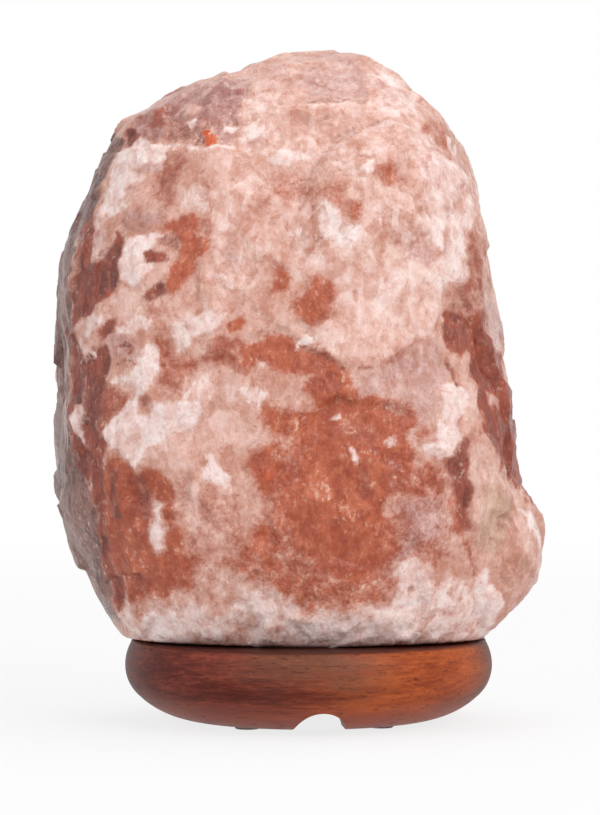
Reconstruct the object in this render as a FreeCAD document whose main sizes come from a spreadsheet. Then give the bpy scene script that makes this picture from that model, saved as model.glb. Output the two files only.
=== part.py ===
import FreeCAD, Part
import math
import os
import re
import Sketcher

os.makedirs("parts", exist_ok=True)

# Lengths are in millimetres and angles in degrees. The origin is on the table, on the base's axis,
# +Z is up, and -Y faces the side that the cord groove is on.
sizes = {
    # turned wooden base
    "pad_thickness": 1.2,
    "pad_radius": 4.0,
    "pad_ring": 30.5,
    "pad_edge": 0.3,
    "base_height": 26.2,
    "belly_radius": 60.0,
    "belly_rise": 17.5,
    "bowl_turn": 45.0,
    "foot_inset": 24.0,
    "rim_inset": 2.0,
    "rim_round": 1.2,
    "hole_radius": 20.0,
    "recess_radius": 25.5,
    "recess_depth": 12.8,
    "groove_radius": 8.7,
    "groove_depth": 6.9,
    "groove_turn": 4.8,
    # screws that hold the crystal down
    "screw_ring": 30.5,
    "screw_turn": 90.0,
    "screw_length": 38.0,
    "screw_radius": 1.9,
    "screw_tip": 4.0,
    "head_radius": 4.0,
    "head_sink": 0.8,
    "cross_length": 4.0,
    "cross_width": 0.9,
    "cross_depth": 1.3,
    "plug_wall": 1.2,
    "plug_length": 16.0,
    # pressed plate, its spring clips and the nipple
    "plate_thickness": 0.8,
    "plate_lip": 1.8,
    "plate_gap": 0.6,
    "nipple_radius": 4.95,
    "nipple_wall": 0.95,
    "nipple_end": 1.0,
    "nut_across": 14.0,
    "nut_height": 3.0,
    "washer_radius": 7.6,
    "washer_thickness": 0.8,
    "bushing_wall": 0.55,
    "bushing_length": 9.0,
    "bushing_flange": 5.6,
    "flange_thickness": 1.4,
    "clip_thickness": 0.5,
    "clip_width": 8.0,
    "clip_turn": 90.0,
    "clip_foot": 8.4,
    "clip_bend": 12.0,
    "clip_middle": 11.5,
    "clip_sweep": 38.0,
    "rivet_ring": 11.2,
    "rivet_radius": 1.2,
    "rivet_head": 2.0,
    "rivet_rise": 0.7,
    # bulb socket
    "boss_radius": 8.0,
    "boss_height": 4.5,
    "boss_thread": 7.0,
    "socket_radius": 14.0,
    "flare_height": 5.0,
    "skirt_height": 3.5,
    "spigot_height": 3.5,
    "socket_wall": 1.6,
    "sleeve_height": 32.0,
    "sleeve_taper": 0.8,
    "sleeve_round": 1.2,
    "sleeve_mouth": 9.6,
    "core_thickness": 8.0,
    "core_wall": 1.5,
    "shell_radius": 7.05,
    "shell_wall": 0.4,
    "shell_height": 18.0,
    "shell_flange": 5.0,
    "strip_thickness": 0.4,
    "strip_width": 4.0,
    "contact_bend": 3.6,
    "contact_rise": 3.2,
    "contact_sweep": 60.0,
    "shell_tab": 5.8,
    "terminal_ring": 8.4,
    "terminal_reach": 10.2,
    "terminal_radius": 1.2,
    "terminal_head": 1.6,
    "terminal_rise": 1.2,
    "terminal_depth": 5.0,
    # bulb
    "bulb_length": 57.0,
    "bulb_radius": 14.0,
    "glass_wall": 0.6,
    "neck_radius": 6.2,
    "neck_start": 14.5,
    "neck_height": 6.0,
    "bulb_straight": 5.0,
    "cap_radius": 6.75,
    "cap_wall": 0.3,
    "cap_length": 15.5,
    "cap_chamfer": 0.8,
    "tip_radius": 2.6,
    "tip_height": 0.8,
    "insulator_height": 2.4,
    "insulator_radius": 5.6,
    "stem_radius": 2.2,
    "stem_flare": 5.0,
    "stem_height": 13.0,
    "wire_radius": 0.25,
    "wire_spread": 6.0,
    "wire_rise": 8.0,
    "filament_radius": 0.2,
    "thread_pitch": 2.82,
    "unscrew_turns": 4,
    # salt crystal, and how far it reaches from the base's axis each way
    "crystal_height": 191.6,
    "crystal_left": 84.5,
    "crystal_right": 70.5,
    "crystal_front": 62.0,
    "crystal_back": 62.0,
    "bore_radius": 22.5,
    "bore_point": 13.5,
    "bulb_headroom": 4.0,
    # clearances
    "thread_gap": 0.1,
    "fit_gap": 0.2,
    "running_gap": 0.3,
}

clip_count = 3
pad_count = 4
screw_count = 3
terminal_count = 2
section_points = 14
section_fullness = 0.86

# The crystal's cross sections: the height of each above the crystal's foot, and how far it reaches to
# the left, the right, the front and the back, all in percent of the crystal's sizes.
crystal_sections = [
    (0, 71, 82, 68, 71),
    (6.5, 82, 92, 82, 84),
    (16, 92.5, 99, 93.5, 92),
    (29.5, 99.5, 100, 100, 98.5),
    (43, 100, 94, 99, 100),
    (57.5, 99, 87, 95, 97),
    (69, 92.5, 82, 87, 90),
    (79.5, 83, 75, 74, 80.5),
    (88, 71, 65, 59.5, 67.5),
    (94, 50, 51, 43.5, 51.5),
    (100, 26, 31, 24, 29),
]

# Flats that the crystal split along: a place on each one in percent of the crystal's sizes, left and
# front below zero, and the way it looks (azimuth from +X towards +Y, and tilt above the level).
crystal_facets = [
    ((-99, 13, 42), 189, 1),
    ((-85, -61.5, 38), 222, 3),
    ((-66.5, -80.5, 17), 236, -8),
    ((-9.5, -97.5, 33.5), 267, 1),
    ((51, -90.5, 36), 292, 5),
    ((83.5, -55, 42), 330, 9),
    ((93.5, 0, 40), 358, 8),
    ((14, -84, 72.5), 272, 20),
    ((-68.5, -53, 75.5), 222, 24),
    ((-83.5, 0, 77.5), 183, 25),
    ((-53, -9.5, 92), 195, 60),
    ((71, -9.5, 81.5), 352, 20),
    ((47, 0, 92.5), 8, 46),
    ((8.5, -42, 93.5), 275, 48),
    ((-23.5, 0, 97.5), 196, 72),
    ((36, 0, 97), 6, 66),
    ((5.5, -6.5, 99.5), 268, 74),
    ((3, 9.5, 99.5), 96, 68),
    ((0, 58, 91), 88, 42),
    ((14, 96, 40), 84, 4),
    ((71, 69.5, 33.5), 44, 5),
    ((-68.5, 67.5, 36), 139, 3),
    ((-35.5, 90.5, 17), 112, -9),
    ((-47.5, 67.5, 77.5), 128, 26),
]

# Lumps that stand out of the crystal's faces: the centre in the same way, the half sizes (out, across
# and up) in percent of the crystal's reach to the front, and the way that they look.
crystal_lumps = [
    ((61, -16, 16), (55, 50, 50), -18),
    ((35, -58, 64), (31.5, 55, 69.5), -65),
]

doc = FreeCAD.newDocument("SaltCrystalLamp")
sheet = doc.addObject("Spreadsheet::Sheet", "Sizes")
for row, (alias, size) in enumerate(sizes.items(), start=1):
    sheet.set(f"A{row}", alias)
    sheet.set(f"B{row}", str(size))
    sheet.setAlias(f"B{row}", alias)
doc.recompute()

parts = []


def expression(formula):
    """Point a formula's aliases at the sheet."""
    return re.sub(r"\b([a-z]+_[a-z_]+)\b", r"Sizes.\1", formula)


def value(formula):
    """Work a formula out now."""
    return float(sheet.evalExpression(expression(formula)))


def place(piece, height, turn=None):
    """Seat a piece at a height above the table, turned about the upright axis."""
    piece.setExpression("Placement.Base.z", expression(height))
    if turn:
        piece.setExpression("Placement.Rotation.Angle", expression(turn))


def name_part(piece, label):
    piece.Label = label
    parts.append(piece)
    return piece


def new_body(label):
    return name_part(doc.addObject("PartDesign::Body", label), label)


def origin_feature(body, role):
    return next(f for f in body.Origin.OriginFeatures if f.Role == role)


def new_sketch(body, name, role):
    sketch = body.newObject("Sketcher::SketchObject", name)
    sketch.AttachmentSupport = [(origin_feature(body, role), "")]
    sketch.MapMode = "FlatFace"
    return sketch


def bind(sketch, kind, where, formula):
    """Add a sketch dimension that follows the sheet."""
    index = sketch.addConstraint(Sketcher.Constraint(kind, *where, value(formula)))
    sketch.setExpression(f"Constraints[{index}]", expression(formula))


def arc_between(start, end, radius):
    """An arc of under half a turn that passes on the right of the way from start to end, or on the
    left where the radius is negative."""
    along = end - start
    depth = math.sqrt(max(radius**2 - (along.Length / 2) ** 2, 0))
    left = FreeCAD.Vector(-along.y, along.x, 0).normalize()
    middle = (start + end) / 2 + left * math.copysign(depth, radius)
    if radius < 0:
        start, end = end, start
    angles = [math.atan2(p.y - middle.y, p.x - middle.x) for p in (start, end)]
    circle = Part.Circle(middle, FreeCAD.Vector(0, 0, 1), abs(radius))
    return Part.ArcOfCircle(circle, *angles)


def draw_loop(sketch, corners):
    """Draw a closed outline through corners given as formulas. A corner's third formula makes the
    edge that leaves it an arc of that radius, with a fourth word for an arc on the left."""
    points = [FreeCAD.Vector(value(c[0]), value(c[1]), 0) for c in corners]
    ends = []
    for number, corner in enumerate(corners):
        start = points[number]
        end = points[(number + 1) % len(points)]
        leftward = len(corner) > 3
        if len(corner) > 2:
            radius = value(corner[2])
            sketch.addGeometry(arc_between(start, end, -radius if leftward else radius), False)
        else:
            sketch.addGeometry(Part.LineSegment(start, end), False)
        ends.append((2, 1) if leftward else (1, 2))
    for number, (first, last) in enumerate(ends):
        following = (number + 1) % len(ends)
        sketch.addConstraint(
            Sketcher.Constraint("Coincident", number, last, following, ends[following][0])
        )
    for number, corner in enumerate(corners):
        bind(sketch, "DistanceX", (-1, 1, number, ends[number][0]), corner[0])
        bind(sketch, "DistanceY", (-1, 1, number, ends[number][0]), corner[1])
        if len(corner) > 2:
            bind(sketch, "Radius", (number,), corner[2])


def draw_circle(sketch, across, up, radius):
    index = sketch.addGeometry(
        Part.Circle(
            FreeCAD.Vector(value(across), value(up), 0), FreeCAD.Vector(0, 0, 1), value(radius)
        ),
        False,
    )
    bind(sketch, "DistanceX", (-1, 1, index, 3), across)
    bind(sketch, "DistanceY", (-1, 1, index, 3), up)
    bind(sketch, "Radius", (index,), radius)


def axis_sketch(body, name, across, height):
    """An upright line away from the origin, for a piece that is turned about it."""
    sketch = new_sketch(body, name, "XZ_Plane")
    foot = FreeCAD.Vector(value(across), 0, 0)
    sketch.addGeometry(Part.LineSegment(foot, foot + FreeCAD.Vector(0, value(height), 0)), False)
    for end, up in ((1, "0"), (2, height)):
        bind(sketch, "DistanceX", (-1, 1, 0, end), across)
        bind(sketch, "DistanceY", (-1, 1, 0, end), up)
    return sketch


def turned(label, corners, axis=None, body=None):
    """A piece turned from an outline of radius and height."""
    body = body or new_body(label)
    sketch = new_sketch(body, label + "_profile", "XZ_Plane")
    draw_loop(sketch, corners)
    turning = body.newObject("PartDesign::Revolution", label + "_turning")
    turning.Profile = sketch
    turning.ReferenceAxis = (axis, ["Edge1"]) if axis else (sketch, ["V_Axis"])
    turning.Angle = 360
    doc.recompute()
    return body


def pressed(label, corners, width, body=None):
    """A strip whose side view is an outline, as wide each way from its middle plane."""
    body = body or new_body(label)
    sketch = new_sketch(body, label + "_side", "XZ_Plane")
    draw_loop(sketch, corners)
    pad = body.newObject("PartDesign::Pad", label + "_strip")
    pad.Profile = sketch
    pad.Midplane = True
    pad.setExpression("Length", expression(width))
    doc.recompute()
    return body


def cut_through(body, name, role, circles=(), loop=None, upward=False, depth=None):
    """Cut circles or an outline out of a body, from one of its own planes."""
    before = body.Shape.Volume
    sketch = new_sketch(body, name + "_outline", role)
    for circle in circles:
        draw_circle(sketch, *circle)
    if loop:
        draw_loop(sketch, loop)
    pocket = body.newObject("PartDesign::Pocket", name)
    pocket.Profile = sketch
    pocket.Reversed = upward
    if depth:
        pocket.setExpression("Length", expression(depth))
    else:
        pocket.Type = "ThroughAll"
        pocket.Midplane = not upward
    doc.recompute()
    if body.Shape.Volume > before - 1e-3:
        raise RuntimeError(f"{name} removes nothing from {body.Label}")
    return pocket


def repeat_round(body, features, count, step=None):
    """Repeat features of a body about its upright axis, all the way round or by a step."""
    pattern = body.newObject("PartDesign::PolarPattern", body.Name + "_ring")
    pattern.Originals = features
    pattern.Axis = (origin_feature(body, "Z_Axis"), [""])
    pattern.Occurrences = count
    if step:
        pattern.setExpression("Angle", expression(f"{count - 1} * {step}"))
    else:
        pattern.Angle = 360
    body.Tip = pattern
    doc.recompute()
    return pattern


# Sizes and heights of seats, from the table up, that several pieces share.
foot_radius = "(belly_radius - foot_inset)"
rim_radius = "(belly_radius - rim_inset)"
wood_top = "(pad_thickness + base_height)"
plate_top = "(pad_thickness + recess_depth)"
plate_foot = f"({plate_top} - plate_thickness)"
nipple_foot = f"({plate_foot} - nut_height - nipple_end)"
cap_seat = f"({plate_top} + washer_thickness)"
sleeve_seat = f"({cap_seat} + boss_height + flare_height + skirt_height)"
core_seat = f"({sleeve_seat} + spigot_height)"
shell_seat = f"({core_seat} + core_thickness)"
bulb_seat = f"({shell_seat} + contact_rise + running_gap)"
bulb_rise = "(thread_pitch * unscrew_turns)"
bore_top = f"({bulb_seat} + bulb_length + {bulb_rise} + bulb_headroom)"


def make_base():
    """A shallow turned bowl upside up, with a through hole, a recess for the holder's plate, a
    groove for the cord and countersunk holes for the screws."""
    spare = "((foot_inset - belly_rise) / (sin(bowl_turn) + cos(bowl_turn) - 1))"
    side = f"(foot_inset - {spare} * sin(bowl_turn))"
    bowl = f"({side} + {spare})"
    crown_up = "(base_height - rim_round - belly_rise)"
    crown = f"((rim_inset ^ 2 + {crown_up} ^ 2) / (2 * rim_inset))"
    base = turned(
        "wooden_base",
        [
            ("recess_radius", "0"),
            (foot_radius, "0", bowl),
            (f"{foot_radius} + {bowl} * sin(bowl_turn)", f"{bowl} * (1 - cos(bowl_turn))", side),
            ("belly_radius", "belly_rise", crown),
            (rim_radius, "base_height - rim_round", "rim_round"),
            (f"{rim_radius} - rim_round", "base_height"),
            ("hole_radius", "base_height"),
            ("hole_radius", "recess_depth"),
            ("recess_radius", "recess_depth"),
        ],
    )
    cut_through(
        base,
        "cord_groove",
        "XZ_Plane",
        [("0", "groove_depth - groove_radius", "groove_radius")],
        upward=True,
    )
    before = base.Shape.Volume
    centres = new_sketch(base, "screw_centres", "XY_Plane")
    for number in range(screw_count):
        draw_circle(
            centres,
            f"screw_ring * cos({number} * screw_turn)",
            f"screw_ring * sin({number} * screw_turn)",
            "screw_radius",
        )
    doc.recompute()
    holes = base.newObject("PartDesign::Hole", "screw_holes")
    holes.Profile = centres
    holes.DepthType = "ThroughAll"
    holes.Reversed = True
    holes.setExpression("Diameter", expression("2 * (screw_radius + fit_gap)"))
    holes.HoleCutType = "Countersink"
    holes.HoleCutCustomValues = True
    holes.setExpression("HoleCutDiameter", expression("2 * (head_radius + head_sink + thread_gap)"))
    holes.HoleCutCountersinkAngle = 90
    doc.recompute()
    if base.Shape.Volume > before - 1e-3:
        raise RuntimeError("the screw holes remove nothing from the base")
    place(base, "pad_thickness", "groove_turn")


def make_feet():
    for number in range(pad_count):
        pad = turned(
            f"foot_pad_{number + 1}",
            [
                ("0", "0"),
                ("pad_radius - pad_edge", "0"),
                ("pad_radius", "pad_edge"),
                ("pad_radius", "pad_thickness"),
                ("0", "pad_thickness"),
            ],
        )
        angle = f"(groove_turn + {360 * (number + 0.5) / pad_count})"
        pad.setExpression("Placement.Base.x", expression(f"pad_ring * cos({angle})"))
        pad.setExpression("Placement.Base.y", expression(f"pad_ring * sin({angle})"))


def make_screws():
    """Countersunk wood screws with a cross recess, and the plugs in the salt that they bite."""
    head_height = "(head_radius - screw_radius)"
    screws = new_body("base_screws")
    axis = axis_sketch(screws, "screw_axis", "screw_ring", "screw_length")
    turned(
        "screw",
        [
            ("screw_ring", "0"),
            ("screw_ring + head_radius", "0"),
            ("screw_ring + screw_radius", head_height),
            ("screw_ring + screw_radius", "screw_length - screw_tip"),
            ("screw_ring", "screw_length"),
        ],
        axis=axis,
        body=screws,
    )
    turning = screws.Tip
    slots = []
    for name, length, width in (
        ("cross_slot", "cross_length", "cross_width"),
        ("cross_slot_over", "cross_width", "cross_length"),
    ):
        slots.append(
            cut_through(
                screws,
                name,
                "XY_Plane",
                loop=[
                    (f"screw_ring - {length} / 2", f"0 - {width} / 2"),
                    (f"screw_ring + {length} / 2", f"0 - {width} / 2"),
                    (f"screw_ring + {length} / 2", f"{width} / 2"),
                    (f"screw_ring - {length} / 2", f"{width} / 2"),
                ],
                upward=True,
                depth="cross_depth",
            )
        )
    repeat_round(screws, [turning, *slots], screw_count, "screw_turn")
    place(screws, "pad_thickness + head_sink", "groove_turn")

    inner = "(screw_radius + thread_gap)"
    outer = f"({inner} + plug_wall)"
    plugs = new_body("screw_plugs")
    axis = axis_sketch(plugs, "plug_axis", "screw_ring", "plug_length")
    turned(
        "plug",
        [
            (f"screw_ring + {inner}", "0"),
            (f"screw_ring + {outer}", "0"),
            (f"screw_ring + {outer}", "plug_length"),
            (f"screw_ring + {inner}", "plug_length"),
        ],
        axis=axis,
        body=plugs,
    )
    repeat_round(plugs, [plugs.Tip], screw_count, "screw_turn")
    place(plugs, wood_top, "groove_turn")


def make_plate():
    """The pressed plate under the base, with its lip turned down and holes for the nipple and the
    clips' rivets."""
    rim = "(recess_radius - plate_gap)"
    plate = turned(
        "holder_plate",
        [
            ("nipple_radius + thread_gap", "0"),
            (f"{rim} - plate_thickness", "0"),
            (f"{rim} - plate_thickness", "0 - plate_lip"),
            (rim, "0 - plate_lip"),
            (rim, "plate_thickness"),
            ("nipple_radius + thread_gap", "plate_thickness"),
        ],
    )
    hole = cut_through(
        plate,
        "rivet_hole",
        "XY_Plane",
        [
            (
                "rivet_ring * cos(clip_turn)",
                "rivet_ring * sin(clip_turn)",
                "rivet_radius + thread_gap",
            )
        ],
    )
    repeat_round(plate, [hole], clip_count)
    place(plate, plate_foot)


def make_clips():
    """Leaf springs, each riveted by its foot and bowed out towards the wall of the base's hole."""
    bow_edge = "sqrt((hole_radius - running_gap) ^ 2 - (clip_width / 2) ^ 2)"
    bow_out = f"({bow_edge} - clip_bend)"
    bow_in = "(clip_bend - clip_thickness)"
    low = "sin(clip_sweep)"
    out = "cos(clip_sweep)"
    lean = "tan(clip_sweep)"
    for number in range(clip_count):
        clip = pressed(
            f"spring_clip_{number + 1}",
            [
                ("clip_foot", "0"),
                (
                    f"{bow_out} + clip_bend * {out} - (clip_middle - clip_bend * {low}) * {lean}",
                    "0",
                ),
                (
                    f"{bow_out} + clip_bend * {out}",
                    f"clip_middle - clip_bend * {low}",
                    "clip_bend",
                ),
                (f"{bow_out} + clip_bend * {out}", f"clip_middle + clip_bend * {low}"),
                (
                    f"{bow_out} + {bow_in} * {out}",
                    f"clip_middle + {bow_in} * {low}",
                    bow_in,
                    "left",
                ),
                (f"{bow_out} + {bow_in} * {out}", f"clip_middle - {bow_in} * {low}"),
                (
                    f"{bow_out} + {bow_in} * {out}"
                    f" - (clip_middle - {bow_in} * {low} - clip_thickness) * {lean}",
                    "clip_thickness",
                ),
                ("clip_foot", "clip_thickness"),
            ],
            "clip_width",
        )
        cut_through(
            clip,
            f"clip_hole_{number + 1}",
            "XY_Plane",
            [("rivet_ring", "0", "rivet_radius + thread_gap")],
        )
        place(clip, plate_top, f"clip_turn + {360 * number / clip_count}")

    rivets = new_body("clip_rivets")
    stack = "(plate_thickness + clip_thickness)"
    axis = axis_sketch(rivets, "rivet_axis", "rivet_ring", stack)
    turned(
        "rivet",
        [
            ("rivet_ring", "0 - rivet_rise"),
            ("rivet_ring + rivet_head", "0 - rivet_rise"),
            ("rivet_ring + rivet_head", "0"),
            ("rivet_ring + rivet_radius", "0"),
            ("rivet_ring + rivet_radius", stack),
            ("rivet_ring + rivet_head", stack),
            ("rivet_ring + rivet_head", f"{stack} + rivet_rise"),
            ("rivet_ring", f"{stack} + rivet_rise"),
        ],
        axis=axis,
        body=rivets,
    )
    repeat_round(rivets, [rivets.Tip], clip_count)
    place(rivets, plate_foot, "clip_turn")


def make_nipple():
    """The threaded nipple through the plate, its nut and washer, and the sleeve the cord enters."""
    length = f"({cap_seat} + boss_thread - {nipple_foot})"
    inner = "(nipple_radius - nipple_wall)"
    nipple = turned(
        "threaded_nipple",
        [
            (inner, "0"),
            ("nipple_radius", "0"),
            ("nipple_radius", length),
            (inner, length),
        ],
    )
    place(nipple, nipple_foot)

    block = doc.addObject("Part::Prism", "nut_block")
    block.Polygon = 6
    block.setExpression("Circumradius", expression("nut_across / 2 / cos(30)"))
    block.setExpression("Height", expression("nut_height"))
    dome = doc.addObject("Part::Cone", "nut_chamfer")
    dome.setExpression("Radius1", expression("nut_across / 2"))
    dome.setExpression("Radius2", expression("nut_across / 2 + nut_height * tan(60)"))
    dome.setExpression("Height", expression("nut_height"))
    rounded = doc.addObject("Part::Common", "nut_rounded")
    rounded.Base = block
    rounded.Tool = dome
    bore = doc.addObject("Part::Cylinder", "nut_bore")
    bore.setExpression("Radius", expression("nipple_radius + thread_gap"))
    bore.setExpression("Height", expression("nut_height"))
    nut = name_part(doc.addObject("Part::Cut", "nut"), "lock_nut")
    nut.Base = rounded
    nut.Tool = bore
    place(nut, f"{plate_foot} - nut_height")

    washer = turned(
        "lock_washer",
        [
            ("nipple_radius + thread_gap", "0"),
            ("washer_radius", "0"),
            ("washer_radius", "washer_thickness"),
            ("nipple_radius + thread_gap", "washer_thickness"),
        ],
    )
    place(washer, plate_top)

    outside = f"({inner} - thread_gap)"
    bushing = turned(
        "cord_bushing",
        [
            (f"{outside} - bushing_wall", "0"),
            ("bushing_flange", "0"),
            ("bushing_flange", "flange_thickness"),
            (outside, "flange_thickness"),
            (outside, "bushing_length"),
            (f"{outside} - bushing_wall", "bushing_length"),
        ],
    )
    place(bushing, f"{nipple_foot} - flange_thickness")


def make_socket():
    """The plastic cap, sleeve and core of the bulb socket, with its brass parts inside."""
    spigot = "(socket_radius - socket_wall - fit_gap)"
    shoulder = "(boss_height + flare_height + skirt_height)"
    cap = turned(
        "socket_cap",
        [
            ("nipple_radius + thread_gap", "0"),
            ("boss_radius", "0"),
            ("boss_radius", "boss_height"),
            ("socket_radius", "boss_height + flare_height"),
            ("socket_radius", shoulder),
            (spigot, shoulder),
            (spigot, f"{shoulder} + spigot_height"),
            (f"{spigot} - socket_wall", f"{shoulder} + spigot_height"),
            (f"{spigot} - socket_wall", "boss_height + flare_height + socket_wall"),
            ("nipple_radius + socket_wall", "boss_thread"),
            ("nipple_radius + thread_gap", "boss_thread"),
        ],
    )
    place(cap, cap_seat)

    top = "(socket_radius - sleeve_taper)"
    sleeve = turned(
        "socket_sleeve",
        [
            ("socket_radius - socket_wall", "0"),
            ("socket_radius", "0"),
            (top, "sleeve_height - sleeve_round", "sleeve_round"),
            (f"{top} - sleeve_round", "sleeve_height"),
            ("sleeve_mouth", "sleeve_height"),
            ("sleeve_mouth", "sleeve_height - socket_wall"),
            (f"{top} - socket_wall", "sleeve_height - socket_wall"),
        ],
    )
    place(sleeve, sleeve_seat)

    flange = f"({spigot} - sleeve_taper)"
    well = "(shell_radius + shell_wall + fit_gap)"
    core_top = "(sleeve_height - socket_wall - spigot_height - running_gap)"
    core = turned(
        "socket_core",
        [
            ("0", "0"),
            (flange, "0"),
            (flange, "core_thickness"),
            (f"{well} + core_wall", "core_thickness"),
            (f"{well} + core_wall", core_top),
            (well, core_top),
            (well, "core_thickness"),
            ("0", "core_thickness"),
        ],
    )
    room = "(fit_gap + strip_thickness)"
    for name, near in (("contact_slot", "0 - contact_bend"), ("tab_slot", "shell_tab")):
        cut_through(
            core,
            name,
            "XY_Plane",
            loop=[
                (f"{near} - fit_gap", "0 - strip_width / 2 - fit_gap"),
                (f"{near} + {room}", "0 - strip_width / 2 - fit_gap"),
                (f"{near} + {room}", "strip_width / 2 + fit_gap"),
                (f"{near} - fit_gap", "strip_width / 2 + fit_gap"),
            ],
        )
    cut_through(
        core,
        "terminal_holes",
        "XY_Plane",
        [
            ("terminal_ring", "0", "terminal_radius + thread_gap"),
            ("0 - terminal_ring", "0", "terminal_radius + thread_gap"),
        ],
        upward=True,
        depth="terminal_depth + fit_gap",
    )
    place(core, core_seat)

    shell = turned(
        "screw_shell",
        [
            ("shell_flange", "0"),
            ("shell_radius + shell_wall", "0"),
            ("shell_radius + shell_wall", "shell_height"),
            ("shell_radius", "shell_height"),
            ("shell_radius", "shell_wall"),
            ("shell_flange", "shell_wall"),
        ],
    )
    place(shell, shell_seat)


def make_contacts():
    """The centre contact, bent up to meet the bulb's tip, the tab that feeds the shell, and the
    screws that hold both under the core."""
    outer = "contact_bend"
    inner = "(contact_bend - strip_thickness)"
    arch = "(core_thickness + contact_rise - contact_bend)"
    centre = pressed(
        "centre_contact",
        [
            (f"0 - {inner}", "0 - strip_thickness"),
            (f"0 - {inner}", arch, inner, "left"),
            ("0", f"{arch} + {inner}", inner, "left"),
            (f"{inner} * sin(contact_sweep)", f"{arch} + {inner} * cos(contact_sweep)"),
            (f"{outer} * sin(contact_sweep)", f"{arch} + {outer} * cos(contact_sweep)", outer),
            ("0", f"{arch} + {outer}", outer),
            (f"0 - {outer}", arch),
            (f"0 - {outer}", "0"),
            ("0 - terminal_reach", "0"),
            ("0 - terminal_reach", "0 - strip_thickness"),
        ],
        "strip_width",
    )
    tab = pressed(
        "shell_contact",
        [
            ("shell_tab", "0 - strip_thickness"),
            ("terminal_reach", "0 - strip_thickness"),
            ("terminal_reach", "0"),
            ("shell_tab + strip_thickness", "0"),
            ("shell_tab + strip_thickness", "core_thickness"),
            ("shell_tab", "core_thickness"),
        ],
        "strip_width",
    )
    for strip, across in ((centre, "0 - terminal_ring"), (tab, "terminal_ring")):
        cut_through(
            strip,
            strip.Label + "_hole",
            "XY_Plane",
            [(across, "0", "terminal_radius + thread_gap")],
        )
        place(strip, core_seat)

    screws = new_body("terminal_screws")
    seat = "(0 - strip_thickness)"
    axis = axis_sketch(screws, "terminal_axis", "terminal_ring", "terminal_depth")
    turned(
        "terminal_screw",
        [
            ("terminal_ring", f"{seat} - terminal_rise"),
            ("terminal_ring + terminal_head", f"{seat} - terminal_rise"),
            ("terminal_ring + terminal_head", seat),
            ("terminal_ring + terminal_radius", seat),
            ("terminal_ring + terminal_radius", "terminal_depth"),
            ("terminal_ring", "terminal_depth"),
        ],
        axis=axis,
        body=screws,
    )
    repeat_round(screws, [screws.Tip], terminal_count)
    place(screws, core_seat)


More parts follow.
